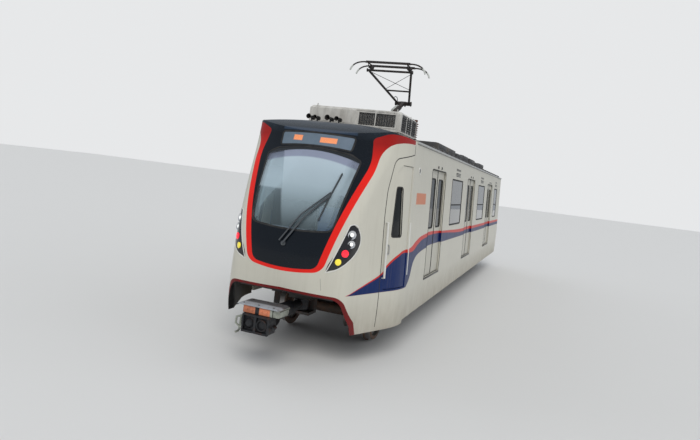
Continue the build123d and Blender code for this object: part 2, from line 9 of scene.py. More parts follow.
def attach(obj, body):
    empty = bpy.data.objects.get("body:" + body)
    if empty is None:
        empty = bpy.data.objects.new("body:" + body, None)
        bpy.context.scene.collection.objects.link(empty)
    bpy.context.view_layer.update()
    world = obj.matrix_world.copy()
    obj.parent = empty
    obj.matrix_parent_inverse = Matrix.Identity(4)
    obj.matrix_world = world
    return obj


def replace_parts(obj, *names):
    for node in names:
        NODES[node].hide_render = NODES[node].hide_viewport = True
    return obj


bl_info = {
    "name": "Metro car",
    "version": (1, 0, 0),
    "blender": (4, 5, 0),
    "location": "View3D > Sidebar > Metro car",
    "description": "Dresses the packed metro car with finishes, lamps, seals, bolts, cables and seats",
    "category": "Object",
}

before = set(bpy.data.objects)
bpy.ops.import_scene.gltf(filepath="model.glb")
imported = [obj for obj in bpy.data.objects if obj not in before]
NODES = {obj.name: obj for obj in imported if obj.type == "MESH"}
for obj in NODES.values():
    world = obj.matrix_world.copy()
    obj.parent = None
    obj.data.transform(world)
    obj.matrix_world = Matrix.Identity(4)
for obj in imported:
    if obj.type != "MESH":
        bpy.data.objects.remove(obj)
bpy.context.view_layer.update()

# Camera, solved from the photograph
PHOTO_WIDTH = 700
FOCAL_PIXELS = 591.06
SENSOR_MM = 36.0
EYE = (14.8, 3.322, 2.6066)
YAW = 0.3323
PITCH = 0.0707
ROLL = 0.1232


# Sizes that finishes and pieces share, in metres
AC_X = (4.550, 5.600)
AC_HALF = 0.800
AC_TOP_Z = 3.750
FRAME_Y = 0.420
FRAME_Z = 3.560
NOTICE_X = (5.170, 5.840)
NOTICE_Z = (2.290, 2.500)
WINDOW_BAR_Z = 2.310


# Shader maths

class Link:
    """A socket in a finish, which can be used in sums."""

    def __init__(self, finish, socket):
        self.finish = finish
        self.socket = socket

    def maths(self, operation, *values):
        inputs = dict(enumerate(values))
        return self.finish.node("ShaderNodeMath", {"operation": operation}, inputs)

    def __add__(self, other):
        return self.maths("ADD", self, other)

    def __radd__(self, other):
        return self.maths("ADD", other, self)

    def __sub__(self, other):
        return self.maths("SUBTRACT", self, other)

    def __rsub__(self, other):
        return self.maths("SUBTRACT", other, self)

    def __mul__(self, other):
        return self.maths("MULTIPLY", self, other)

    def __rmul__(self, other):
        return self.maths("MULTIPLY", other, self)

    def __truediv__(self, other):
        return self.maths("DIVIDE", self, other)

    def __abs__(self):
        return self.maths("ABSOLUTE", self)

    def __pow__(self, other):
        return self.maths("POWER", self, other)

    def least(self, other):
        return self.maths("MINIMUM", self, other)

    def most(self, other):
        return self.maths("MAXIMUM", self, other)

    def wave(self):
        return self.maths("SINE", self)

    def rise(self, low, high):
        """0 below low, 1 above high, straight between them; falls where high is below low."""
        if low <= high:
            spans = {"From Min": low, "From Max": high}
        else:
            spans = {"From Min": high, "From Max": low, "To Min": 1.0, "To Max": 0.0}
        return self.finish.node("ShaderNodeMapRange", {}, {"Value": self, **spans})

    def within(self, low, high, soft=0.002):
        """1 between low and high, 0 outside."""
        return self.rise(low - soft, low + soft) * self.rise(high + soft, high - soft)


class Finish:
    """A material that is being made."""

    def __init__(self, name):
        self.material = bpy.data.materials.new(name)
        self.material.use_nodes = True
        self.tree = self.material.node_tree
        self.tree.nodes.clear()
        self.place = self.node("ShaderNodeTexCoord", out="Object")
        split = self.tree.nodes.new("ShaderNodeSeparateXYZ")
        self.tree.links.new(self.place.socket, split.inputs[0])
        self.x, self.y, self.z = [Link(self, socket) for socket in split.outputs]

    def node(self, kind, settings=None, inputs=None, out=0):
        made = self.tree.nodes.new(kind)
        for key, value in (settings or {}).items():
            if key == "stops":
                self.set_stops(made.color_ramp, value)
            elif key == "curve":
                self.set_curve(made.mapping, value)
            elif key == "runs":
                self.set_curve(made.mapping, value, "VECTOR")
            else:
                setattr(made, key, value)
        for key, value in (inputs or {}).items():
            if isinstance(value, Link):
                self.tree.links.new(value.socket, made.inputs[key])
            else:
                made.inputs[key].default_value = value
        return Link(self, made.outputs[out])

    @staticmethod
    def set_stops(ramp, stops):
        while len(ramp.elements) < len(stops):
            ramp.elements.new(1.0)
        for element, (at, colour) in zip(ramp.elements, stops):
            element.position = at
            element.color = (*colour, 1.0)

    @staticmethod
    def set_curve(mapping, points, handle="AUTO_CLAMPED"):
        curve = mapping.curves[0]
        while len(curve.points) < len(points):
            curve.points.new(0.5, 0.5)
        for point, place in zip(curve.points, sorted(points)):
            point.location = place
            point.handle_type = handle
        mapping.update()

    def stretched(self, x, y, z):
        """The object's coordinates, scaled along each axis."""
        return self.node("ShaderNodeMapping", {}, {"Vector": self.place, "Scale": (x, y, z)})

    def noise(self, scale, detail=4.0, roughness=0.6, place=None):
        values = {"Vector": place or self.place, "Scale": scale, "Detail": detail, "Roughness": roughness}
        return self.node("ShaderNodeTexNoise", {}, values)

    def cells(self, scale):
        return self.node("ShaderNodeTexVoronoi", {}, {"Vector": self.place, "Scale": scale}, "Distance")

    def mix(self, factor, a, b):
        """Colour a where factor is 0 and b where it is 1."""
        values = {0: factor}
        for socket, given in ((6, a), (7, b)):
            values[socket] = given if isinstance(given, Link) else (*given, 1.0)
        return self.node("ShaderNodeMix", {"data_type": "RGBA"}, values, out=2)

    def rounded_box(self, u, v, half_u, half_v, radius):
        """1 within a rectangle with rounded corners about u = v = 0."""
        du = (abs(u) - (half_u - radius)).most(0.0)
        dv = (abs(v) - (half_v - radius)).most(0.0)
        return ((du * du + dv * dv) ** 0.5).rise(radius, radius - 0.002)

    def curve(self, points, value, kind="curve"):
        """A value read off a curve; "runs" joins the points by straight lines."""
        return self.node("ShaderNodeFloatCurve", {kind: points}, {"Factor": 1.0, "Value": value})

    def blend(self, share, first, second):
        """Surface first where share is 0 and second where it is 1."""
        return self.node("ShaderNodeMixShader", {}, {0: share, 1: first, 2: second})

    def clear(self, tint):
        return self.node("ShaderNodeBsdfTransparent", {}, {"Color": (*tint, 1.0)})

    def sheen(self):
        return self.node("ShaderNodeFresnel", {}, {"IOR": 1.5})

    def facing(self):
        """How far a face looks along each axis."""
        look = self.node("ShaderNodeTexCoord", out="Normal")
        split = self.tree.nodes.new("ShaderNodeSeparateXYZ")
        self.tree.links.new(look.socket, split.inputs[0])
        return [Link(self, socket) for socket in split.outputs]

    def bump(self, height, deep, normal=None):
        values = {"Height": height, "Distance": deep, "Strength": 1.0}
        if normal is not None:
            values["Normal"] = normal
        return self.node("ShaderNodeBump", {}, values)

    def shader(self, colour, roughness, **more):
        """The main surface; more gives other sockets by name, with _ for a space."""
        values = {"Base Color": colour if isinstance(colour, Link) else (*colour, 1.0), "Roughness": roughness}
        for key, value in more.items():
            values[key.replace("_", " ").title().replace("Ior", "IOR")] = value
        return self.node("ShaderNodeBsdfPrincipled", {}, values)

    def done(self, shader):
        output = self.tree.nodes.new("ShaderNodeOutputMaterial")
        self.tree.links.new(shader.socket, output.inputs["Surface"])
        return self.material


# Colours that more than one finish shares, as linear light
DUST = (0.23, 0.19, 0.14)
SOOT = (0.030, 0.027, 0.024)
RUST = (0.16, 0.055, 0.022)


def colour(name, description, value):
    return bpy.props.FloatVectorProperty(name=name, description=description, default=value, subtype="COLOR",
                                         size=3, min=0.0, max=1.0)


class MetroColours(bpy.types.PropertyGroup):
    body: colour("Body", "Off-white of the sides and nose", (0.56, 0.545, 0.475))
    # The darker white stands for the shade in the door recesses: painted shade.
    door: colour("Doors", "Slightly darker white of the door leaves", (0.50, 0.485, 0.42))
    blue: colour("Livery blue", "Broad stripe on the sides", (0.0006, 0.016, 0.100))
    red: colour("Livery red", "Thin line over the blue", (0.55, 0.022, 0.016))
    band: colour("Band", "Red band round the mask", (0.74, 0.016, 0.010))
    # A darker red for the band where it runs along the roof's edge: painted shade.
    cantrail_shade: colour("Cantrail", "Band where it runs along the roof's edge", (0.25, 0.008, 0.007))
    lip: colour("Lip", "Edge of the coupler's arch", (0.16, 0.008, 0.009))
    mask: colour("Mask", "Dark blue of the front and the dome", (0.0035, 0.006, 0.010))


def paint(name):
    """One of the car's paints, from the scene."""
    return tuple(getattr(bpy.context.scene.metro_colours, name))


# Reach of the front's outlines: half width and heights
FRONT_HALF = 1.4
FRONT_Z = (1.0, 3.7)

# Edges of the livery on the sides, as places along the car and heights in metres
LIVERY_X = (-7.8, 7.8)
LIVERY_Z = (0.9, 2.0)
LIVERY_TIP_X = 7.513
LIVERY_SOFT = 0.004
LIVERY_TOP = ((-7.8, 1.76), (0.8, 1.76), (3.37, 1.81), (4.5, 1.836), (5.21, 1.807), (5.61, 1.746), (6.07, 1.65),
              (6.21, 1.645), (6.42, 1.59), (6.64, 1.48), (6.849, 1.312), (7.093, 1.211), (7.337, 1.115), (7.8, 0.93))
LIVERY_BLUE_TOP = ((-7.8, 1.69), (0.78, 1.69), (4.08, 1.776), (4.96, 1.757), (5.49, 1.679), (5.95, 1.59),
                   (6.21, 1.60), (6.42, 1.55), (6.64, 1.44), (6.849, 1.285), (7.093, 1.192), (7.337, 1.105),
                   (7.8, 0.93))
LIVERY_LOW = ((-7.8, 1.594), (0.72, 1.594), (4.0, 1.596), (4.65, 1.586), (5.33, 1.536), (5.70, 1.426),
              (5.84, 1.255), (6.02, 1.09), (6.10, 1.068), (6.8, 1.058), (7.513, 1.050), (7.8, 1.048))


def over(gap, soft=0.002):
    """1 where a gap is positive and 0 where it is negative, with a soft edge."""
    return (gap / soft).rise(-0.5, 0.5)


def dimmed(colour, share):
    return tuple(c * share for c in colour)


def livery_edge(f, points):
    """Height of one edge of the livery at each place along the car."""
    along = f.x.rise(*LIVERY_X)
    span = LIVERY_X[1] - LIVERY_X[0]
    tall = LIVERY_Z[1] - LIVERY_Z[0]
    curve = [((x - LIVERY_X[0]) / span, (z - LIVERY_Z[0]) / tall) for x, z in points]
    return f.curve(curve, along) * tall + LIVERY_Z[0]


def skirt_darkening(f, low=0.50, high=1.15):
    """Darker and rougher towards the skirt and fading above it, in soft upright runs."""
    runs = f.noise(1.0, 5.0, 0.65, f.stretched(9.0, 9.0, 1.2))
    patches = f.noise(3.2, 4.0, 0.6)
    height = f.z.rise(high, low)
    return (height * (runs * 0.75 + patches * 0.5)).rise(0.12, 0.85)


def livery(f, tone):
    """Adds the blue stripe and the red line over it, on faces that look outwards."""
    outward = (f.y * f.facing()[1]).rise(-0.25, -0.05)
    top = livery_edge(f, LIVERY_TOP)
    blue_top = livery_edge(f, LIVERY_BLUE_TOP)
    low = livery_edge(f, LIVERY_LOW)
    over_low = over(f.z - low, LIVERY_SOFT) * f.x.rise(LIVERY_TIP_X, LIVERY_TIP_X - 0.01) * outward
    tone = f.mix(over(top - f.z, LIVERY_SOFT) * over_low, tone, paint("red"))
    return f.mix(over(blue_top - f.z, LIVERY_SOFT) * over_low, tone, paint("blue"))


def inner_side(f):
    """1 on faces that look in at the middle of the nose, 0 on its outer skin."""
    nx, ny, _ = f.facing()
    return ((f.x - 5.2) * nx + f.y * ny).rise(0.0, -0.25)


def painted_surface(f, tone, shine=0.16):
    """Paint over a tone: darker and rougher towards the skirt, faint upright streaks of painted shade, and the skin's
    slight waves.
    """
    low_darkening = skirt_darkening(f)
    # Faint upright streaks towards a darker brown: painted shade.
    shade_streaks = f.noise(1.0, 4.0, 0.7, f.stretched(14.0, 14.0, 0.5)).rise(0.5, 0.85)
    tone = f.mix(shade_streaks * 0.14, tone, DUST)
    # The body is darkened and roughened towards the skirt.
    tone = f.mix(low_darkening * 0.6, tone, DUST)
    rough = 0.30 + low_darkening * 0.4 + f.noise(22.0) * 0.10
    skin = f.bump(f.noise(160.0, 2.0), 0.0004)
    waves = f.bump(f.noise(1.3, 2.0), 0.006, skin)
    return f.shader(tone, rough, normal=waves, specular_ior_level=shine, coat_weight=0.04, coat_roughness=0.15)


def body_tone(f, colour):
    return f.mix(f.noise(1.6, 3.0).rise(0.35, 0.7) * 0.22, colour, dimmed(colour, 0.84))


def painted(name, colour, with_livery=False):
    f = Finish(name)
    tone = body_tone(f, colour)
    if with_livery:
        tone = livery(f, tone)
    return f.done(painted_surface(f, tone))


def nose_tones(f):
    """Colours of the nose's outside and of its inside, which is dark grey in the cab and near-black under the floor,
    where the near-black is painted shade.
    """
    tone = livery(f, body_tone(f, paint("body")))
    seam = abs(f.y - 0.55 + (f.z - 1.185) * 0.14).rise(0.003, 0.001) * f.z.within(1.09, 1.25) * f.x.rise(7.3, 7.4)
    # Inner faces: near-black under the floor as painted shade, dark grey above it in the cab.
    lining_and_shade = f.mix(f.z.rise(1.04, 1.05), (0.008, 0.008, 0.009), (0.060, 0.064, 0.064))
    return f.mix(seam * 0.7, tone, SOOT), lining_and_shade


def nose_paint():
    f = Finish("nose_paint")
    outside, lining_and_shade = nose_tones(f)
    return f.done(painted_surface(f, f.mix(inner_side(f), outside, lining_and_shade)))


def glazed(name, colour, pane):
    """Painted leaf whose pane is dark glass; pane gives 1 on the glass."""
    f = Finish(name)
    skin = painted_surface(f, livery(f, body_tone(f, colour)))
    return f.done(f.blend(pane(f), skin, dark_glass(f)))


def leaf_pane(f):
    """Glass of the passenger doors, counted from the middle of the nearest doorway."""
    near = abs(f.x - DOOR_X[0])
    for x in DOOR_X[1:]:
        near = near.least(abs(f.x - x))
    low, high = LEAF_RIM + 0.004, LEAF_REACH - LEAF_RIM - 0.001
    return f.rounded_box(near - (low + high) / 2, f.z - sum(LEAF_WINDOW_Z) / 2, (high - low) / 2,
                         (LEAF_WINDOW_Z[1] - LEAF_WINDOW_Z[0]) / 2, 0.06)


def cab_pane(f):
    """Glass of the cab doors, whose two upright edges lean in."""
    low, high = CAB_WINDOW[0][1], CAB_WINDOW[2][1]
    up = (f.z - low) / (high - low)
    front = CAB_WINDOW[1][0] - up * (CAB_WINDOW[1][0] - CAB_WINDOW[2][0])
    rear = CAB_WINDOW[0][0] + up * (CAB_WINDOW[3][0] - CAB_WINDOW[0][0])
    across = ((front - f.x) / 0.003).rise(0.0, 1.0) * ((f.x - rear) / 0.003).rise(0.0, 1.0)
    return across * f.z.within(low + 0.002, high - 0.002)


def band_surface(f):
    """Red band: bright on the front and darker red towards the roof's edge and behind the front, where the darker red
    is painted shade; random darker blotches over all of it.
    """
    # Painted shade: the band turns to the darker red towards the roof's edge and behind the front.
    shade = f.z.rise(2.75, 3.12).most(f.x.rise(7.0, 6.6) * f.z.rise(2.9, 3.0))
    tone = f.mix(shade * 0.9, paint("band"), paint("cantrail_shade"))
    tone = f.mix(f.noise(5.0).rise(0.5, 0.8) * 0.25, tone, dimmed(paint("band"), 0.6))
    rough = 0.30 + f.noise(30.0) * 0.12
    skin = f.bump(f.noise(150.0, 2.0), 0.0004)
    return f.shader(tone, rough, normal=skin, specular_ior_level=0.2, coat_weight=0.06)


def lip_paint():
    f = Finish("lip_paint")
    tone = f.mix(f.noise(9.0).rise(0.45, 0.75) * 0.6, paint("lip"), SOOT)
    # Faces that look in at the middle of the nose are near-black: painted shade inside the arch.
    tone = f.mix(inner_side(f), tone, (0.010, 0.009, 0.009))
    skin = f.bump(f.noise(90.0), 0.0008)
    return f.done(f.shader(tone, 0.45 + f.noise(25.0) * 0.2, normal=skin, specular_ior_level=0.25))


def mask_surface(f):
    """Dark blue front and dome: near-black gloss in front; paler, dustier and rougher on top, where the paleness is
    partly a painted reflection of the sky, and a painted highlight above the display.
    """
    top = f.z.rise(3.14, 3.40)
    # Paler and rougher on top: dust, and a painted reflection of the sky.
    dust_and_sky_sheen = (top * 0.75 + 0.03) * f.noise(4.0, 5.0, 0.7).rise(0.2, 0.8)
    tone = f.mix(dust_and_sky_sheen, paint("mask"), (0.050, 0.070, 0.095))
    # A painted highlight on the dome's front above the display.
    hood_highlight = abs(f.y).rise(0.575, 0.565) * f.z.rise(3.200, 3.205) * f.z.rise(3.36, 3.30) * f.x.rise(6.9, 6.95)
    tone = f.mix(hood_highlight * 0.8, tone, (0.030, 0.050, 0.085))
    rough = 0.16 + dust_and_sky_sheen * 0.4 + f.noise(18.0) * 0.06
    skin = f.bump(f.noise(120.0, 2.0), 0.0003)
    return f.shader(tone, rough, normal=skin, specular_ior_level=0.22, coat_weight=0.10)


def roof_paint():
    """Grey roof with soot under the wire, and the bright gutter along its edge."""
    f = Finish("roof_paint")
    soot = f.noise(1.0, 5.0, 0.7, f.stretched(0.8, 5.0, 5.0)).rise(0.35, 0.8)
    tone = f.mix(soot * 0.75, (0.30, 0.30, 0.29), (0.07, 0.065, 0.06))
    gutter = abs(f.y).rise(1.222, 1.226) * f.z.rise(3.238, 3.242)
    tone = f.mix(gutter, tone, (0.62, 0.62, 0.60))
    inside = f.z.rise(3.14, 3.13) * abs(f.y).rise(1.01, 1.0)
    tone = f.mix(inside, tone, f.mix(f.x.rise(5.88, 5.90), (0.70, 0.70, 0.68), (0.07, 0.075, 0.075)))
    rough = (0.62 - gutter * 0.34) + f.noise(20.0) * 0.15
    return f.done(f.shader(tone, rough, metallic=gutter * 0.7, normal=f.bump(f.noise(70.0), 0.001)))


def dark_metal(name, colour, rough=0.55, rust=0.35, dust=0.35, metallic=0.0):
    """Painted or cast steel with rust in blots and dust on what faces up."""
    f = Finish(name)
    blots = f.noise(7.0, 6.0, 0.7).rise(0.52, 0.72)
    grime = f.noise(2.5, 5.0, 0.65).rise(0.4, 0.75)
    upward = f.node("ShaderNodeSeparateXYZ", {}, {0: f.node("ShaderNodeNewGeometry", out="Normal")}, out=2)
    tone = f.mix(blots * rust, colour, RUST)
    tone = f.mix((upward.rise(0.2, 0.9) * 0.7 + grime * 0.3) * dust, tone, DUST)
    pits = f.bump(f.noise(60.0, 5.0, 0.7), 0.0015)
    level = rough + blots * 0.2 + f.noise(14.0) * 0.1
    return f.done(f.shader(tone, level, metallic=metallic, normal=pits))


def wheel_steel():
    """Bright tread and disc, dark rusty web. Reads the distance from the nearest wheelset's axis."""
    f = Finish("wheel_steel")
    tone = f.mix(f.noise(9.0, 5.0, 0.7).rise(0.4, 0.7), (0.10, 0.075, 0.06), (0.17, 0.09, 0.05))
    worn = abs(f.y).within(0.716, 0.80, 0.003)
    disc = abs(f.y - 0.33).rise(0.036, 0.030)
    bright = (worn * 0.8).most(disc * 0.7)
    tone = f.mix(bright, tone, (0.42, 0.41, 0.40))
    level = 0.62 - bright * 0.32 + f.noise(30.0) * 0.08
    return f.done(f.shader(tone, level, metallic=0.85 * bright + 0.2, normal=f.bump(f.noise(50.0), 0.0006)))


def glass(name, tint, see_through, rough=0.03, reflection_z=None):
    """Glass that shows what is behind it under a faint film, with a gloss that grows at a slant; above a given height
    the pane is paler and less clear, a painted reflection.
    """
    f = Finish(name)
    film = f.noise(3.0, 4.0, 0.6).rise(0.4, 0.9)
    tone = dimmed(tint, 0.10)
    share = (1.0 - see_through) + f.sheen() * 0.8 + film * 0.05
    # Above the given height: a pale painted reflection on the upper pane.
    if reflection_z:
        upper_reflection = f.z.rise(reflection_z, reflection_z + 0.006)
        tone = f.mix(upper_reflection, tone, (0.17, 0.16, 0.135))
        share = share + upper_reflection * 0.3
    gloss = f.shader(tone, rough + film * 0.03, coat_weight=0.6, coat_roughness=0.02)
    return f.done(f.blend(share.rise(0.0, 1.0), f.clear(tint), gloss))


def dark_glass(f):
    """Tinted pane of a door, within a finish that also holds paint."""
    gloss = f.shader((0.006, 0.008, 0.009), 0.05 + f.noise(3.0) * 0.03, specular_ior_level=0.3)
    return f.blend((0.90 + f.sheen() * 0.1).rise(0.0, 1.0), f.clear((0.14, 0.17, 0.17)), gloss)


def screen_surface(f):
    """Windscreen: a pale painted reflection over most of it, clear at the foot, and a dark printed edge under the
    display.
    """
    reflection_haze = f.noise(1.2, 3.0, 0.5)
    middle = (f.y + (f.z - 2.9) * 0.34).rise(-0.47, -0.44)
    edge = f.y.rise(0.62, 0.52) * 0.5 + 0.5
    # Painted reflection: pale and more opaque towards the top and the middle, faint at the foot.
    screen_reflection = (f.z.rise(1.90, 2.45) * 0.46 + f.z.rise(2.2, 2.8) * 0.16 + reflection_haze * 0.12) * (middle * 0.86 + 0.14) * edge
    screen_reflection = screen_reflection.most(f.z.rise(2.33, 2.36) * 0.42 * f.z.rise(3.0, 2.5))
    border = (f.y * f.y * 0.24 + f.z).rise(2.925, 2.935).most(f.z.rise(1.86, 1.84))
    # Bluish colours of the painted reflection.
    tone = f.mix(f.z.rise(2.2, 2.8), (0.36, 0.45, 0.50), (0.46, 0.55, 0.62))
    tone = f.mix((f.y * f.y * 0.24 + f.z).rise(2.82, 2.84), tone, (0.27, 0.30, 0.40))
    tone = f.mix(border, tone, (0.010, 0.013, 0.016))
    gloss = f.shader(tone, 0.06, coat_weight=0.6, coat_roughness=0.02, specular_ior_level=0.35)
    share = (0.06 + screen_reflection + f.sheen() * 0.4).most(border).rise(0.0, 1.0)
    return f.blend(share, f.clear((0.80, 0.88, 0.90)), gloss)


def display_surface(f):
    """Smoked cover of the route display, with two amber fields and no lettering."""
    fields = f.y.within(-0.36, -0.22, 0.004) * f.z.within(3.055, 3.130, 0.003)
    fields = fields.most(f.y.within(0.06, 0.31, 0.004) * f.z.within(3.050, 3.125, 0.003))
    dots = (f.y * 640.0).wave() * (f.z * 640.0).wave()
    glow = fields * (dots.rise(-0.4, 0.6) * 0.5 + 0.5)
    tone = f.mix(f.noise(2.5).rise(0.3, 0.8), (0.105, 0.150, 0.190), (0.17, 0.21, 0.27))
    tone = f.mix(glow, tone, (0.80, 0.27, 0.09))
    light = f.mix(glow, (0.0, 0.0, 0.0), (0.95, 0.26, 0.07))
    return f.shader(tone, 0.10 + f.noise(20.0) * 0.03, specular_ior_level=0.3, coat_weight=0.2,
                    emission_color=light, emission_strength=0.5)


def lamp_face(f):
    """Black face of a headlight under its clear cover."""
    tone = f.mix(f.noise(40.0) * 0.3, (0.008, 0.008, 0.010), (0.02, 0.02, 0.022))
    return f.shader(tone, 0.14, normal=f.bump(f.noise(60.0), 0.0003), specular_ior_level=0.4, coat_weight=0.5)


def half_outline(half, radii):
    """Points of the left half of a front outline, from the middle of its foot."""
    return [p for p in whole_front(half, radii) if p.x > -1e-6]


def parts_of(points):
    """Splits a half outline into its foot, its side and its top."""
    steep = [abs(b.y - a.y) > abs(b.x - a.x) for a, b in zip(points, points[1:])]
    first = steep.index(True)
    last = len(steep) - steep[::-1].index(True)
    return points[:first + 1], points[first:last + 1], points[last:]


def zone(f, half, radii, open_top=False):
    """1 within an outline on the front. An open top runs out to the sides over its last part."""
    wide = abs(f.y)
    foot, flank, top = parts_of(half_outline(half, radii))
    low, high = FRONT_Z
    tall = high - low

    def height_at(points, edge):
        made = [(p.x, p.y) for p in points]
        made = [(0.0, made[0][1])] + made if made[0][0] > 0.001 else made
        made = made + [(FRONT_HALF, edge)] if made[-1][0] < FRONT_HALF else made
        curve = [(a / FRONT_HALF, (b - low) / tall) for a, b in sorted(made)]
        return f.curve(curve, wide.rise(0.0, FRONT_HALF), "runs") * tall + low

    sides = [((p.y - low) / tall, p.x / FRONT_HALF) for p in flank]
    if open_top:
        sides.append((sides[-1][0] + 0.006, sides[-1][1]))
    sides = [(0.0, sides[0][1])] + sides + [(1.0, 0.0 if open_top else sides[-1][1])]
    if open_top:
        sides.insert(-1, (sides[-2][0] + 0.001, 0.0))
    reach = f.curve(sides, f.z.rise(low, high), "runs") * FRONT_HALF
    within = over(f.z - height_at(foot, foot[-1].y - 0.05)) * over(reach - wide)
    if open_top:
        return within.most(over(f.z - height_at(top, top[-1].y)))
    return within * over(height_at(list(reversed(top)), top[0].y) - f.z)


def lamp_zone(f):
    """1 within the outline of a headlight."""
    foot, top = LAMP_INNER[0][1], LAMP_INNER[-1][1]
    low, high = [f.curve([((z - foot) / (top - foot), y / FRONT_HALF) for y, z in edge],
                         f.z.rise(foot, top)) * FRONT_HALF
                 for edge in (LAMP_INNER, LAMP_OUTER)]
    wide = abs(f.y)
    return over(wide - low) * over(high - wide) * f.z.within(1.338, 1.998)


def front_skin():
    """The whole front, cut into body, band, mask, screen, display and headlights by the photograph's outlines."""
    f = Finish("front_skin")
    nx, ny, nz = f.facing()
    outside = ((f.x - 5.2) * nx + f.y * ny + (f.z - 1.8) * nz).rise(0.3, 0.5)
    tone, lining_and_shade = nose_tones(f)
    whole = painted_surface(f, f.mix(outside, lining_and_shade, tone))
    ahead = f.x.rise(6.15, 6.152)
    layers = ((zone(f, BAND, BAND_RADII, True) * ahead * outside, band_surface(f)),
              (zone(f, MASK, MASK_RADII, True) * ahead * outside, mask_surface(f)),
              (lamp_zone(f) * outside, lamp_face(f)),
              (zone(f, DISPLAY, DISPLAY_RADII) * f.x.rise(6.70, 6.71) * outside, display_surface(f)))
    for share, surface in layers:
        whole = f.blend(share, whole, surface)
    glazing = f.blend(outside, f.clear((1.0, 1.0, 1.0)), screen_surface(f))
    return f.done(f.blend(zone(f, SCREEN, SCREEN_RADII) * f.x.rise(6.70, 6.71), whole, glazing))


def coupler_iron():
    """Dark cast head, light grey edge of the cover plate, the worn orange box and a pale lever, whose paleness is
    partly a painted highlight.
    """
    f = Finish("coupler_iron")
    ahead = f.x.rise(7.94, 7.945)
    grime = f.noise(6.0, 6.0, 0.7).rise(0.42, 0.75)
    rust = f.noise(13.0, 6.0, 0.7).rise(0.55, 0.72)
    box = f.x.rise(8.249, 8.251) * f.z.within(0.7760, 0.8670, 0.0005)
    orange = box * (f.y.within(-0.200, -0.035) + f.y.within(0.022, 0.172))
    pale = (box * f.y.rise(0.172, 0.174)).most(f.y.within(0.2065, 0.302) * f.z.within(0.7705, 0.8672) * ahead)
    plate = ahead * f.z.rise(0.8682, 0.8692) * (f.x.rise(8.10, 8.16) * 0.85 + 0.12)
    # Pale steel of the lever and loop, its paleness partly a painted highlight.
    lever = f.y.rise(-0.195, -0.205) * f.z.rise(0.74, 0.73) * ahead
    tone = f.mix(rust * 0.5, (0.022, 0.023, 0.026), RUST)
    tone = f.mix(orange, tone, f.mix(grime * 0.8, (0.66, 0.22, 0.11), (0.16, 0.07, 0.045)))
    tone = f.mix(pale.most(lever), tone, f.mix(grime * 0.6, (0.34, 0.36, 0.31), (0.10, 0.09, 0.08)))
    tone = f.mix(plate, tone, f.mix(grime * 0.6, (0.40, 0.43, 0.47), (0.13, 0.11, 0.10)))
    pits = f.bump(f.noise(60.0, 5.0, 0.7), 0.0015)
    return f.done(f.shader(tone, 0.42 + grime * 0.25, metallic=0.35 - orange * 0.35, normal=pits))


def case_paint(name, colour, added=None):
    """Painted sheet of a case, streaked with soot from its edges; added may paint more over it."""
    f = Finish(name)
    runs = f.noise(1.0, 5.0, 0.7, f.stretched(10.0, 10.0, 2.0)).rise(0.45, 0.8)
    tone = f.mix(runs * 0.55, colour, SOOT)
    tone = f.mix(f.noise(2.0, 4.0).rise(0.45, 0.8) * 0.35, tone, DUST)
    if added:
        tone = added(f, tone)
    return f.done(f.shader(tone, 0.5 + runs * 0.2, normal=f.bump(f.noise(80.0, 3.0), 0.0006)))


def radiators(f, tone):
    """Dark finned radiators on the sides of the air conditioner; their dark is partly painted shade on those sides,
    and the light and dark stripes are painted shading of the fins.
    """
    bays = f.x.within(AC_X[0] + 0.04, AC_X[0] + 0.53) + f.x.within(AC_X[0] + 0.56, AC_X[1] - 0.05)
    # Near-black over most of each side: dark vents and painted shade.
    dark = abs(f.y).rise(AC_HALF - 0.004, AC_HALF - 0.003) * f.z.within(3.440, 3.715) * bays
    # Stripes that stand for lit and shaded fins: painted shade.
    fin_shading = (f.z * 260.0).wave().rise(-0.4, 0.6)
    return f.mix(dark, tone, f.mix(fin_shading, (0.008, 0.008, 0.009), (0.045, 0.045, 0.048)))


def frame_steel():
    """Dark steel of the pantograph's frame, with brown glazed insulators at its four feet."""
    f = Finish("frame_steel")
    near = abs(f.y) - FRAME_Y
    foot = abs(near).rise(0.072, 0.070) * f.z.rise(FRAME_Z - 0.030, FRAME_Z - 0.032)
    grime = f.noise(9.0, 5.0, 0.7).rise(0.45, 0.75)
    tone = f.mix(grime * 0.5, (0.050, 0.045, 0.042), RUST)
    tone = f.mix(foot, tone, f.mix(grime * 0.5, (0.10, 0.035, 0.020), SOOT))
    pits = f.bump(f.noise(60.0, 5.0, 0.7), 0.0008)
    return f.done(f.shader(tone, 0.48 - foot * 0.28 + grime * 0.2, metallic=0.3 - foot * 0.3, normal=pits))


def notice_sheet():
    """Blank salmon-coloured sheet with a pale lower edge, sun-bleached in blots."""
    f = Finish("notice_sheet")
    bleached = f.noise(7.0, 4.0, 0.6).rise(0.4, 0.8)
    tone = f.mix(bleached * 0.5, (0.56, 0.19, 0.10), (0.62, 0.36, 0.24))
    tone = f.mix(f.z.rise(NOTICE_Z[0] + 0.036, NOTICE_Z[0] + 0.030), tone, (0.55, 0.54, 0.46))
    return f.done(f.shader(tone, 0.42 + bleached * 0.2, normal=f.bump(f.noise(40.0), 0.0003)))


def plastic(name, colour, rough=0.45, grain=220.0):
    f = Finish(name)
    tone = f.mix(f.noise(3.0, 3.0) * 0.3, colour, dimmed(colour, 0.75))
    texture = f.cells(grain)
    return f.done(f.shader(tone, rough + f.noise(12.0) * 0.1, normal=f.bump(texture, 0.0005)))


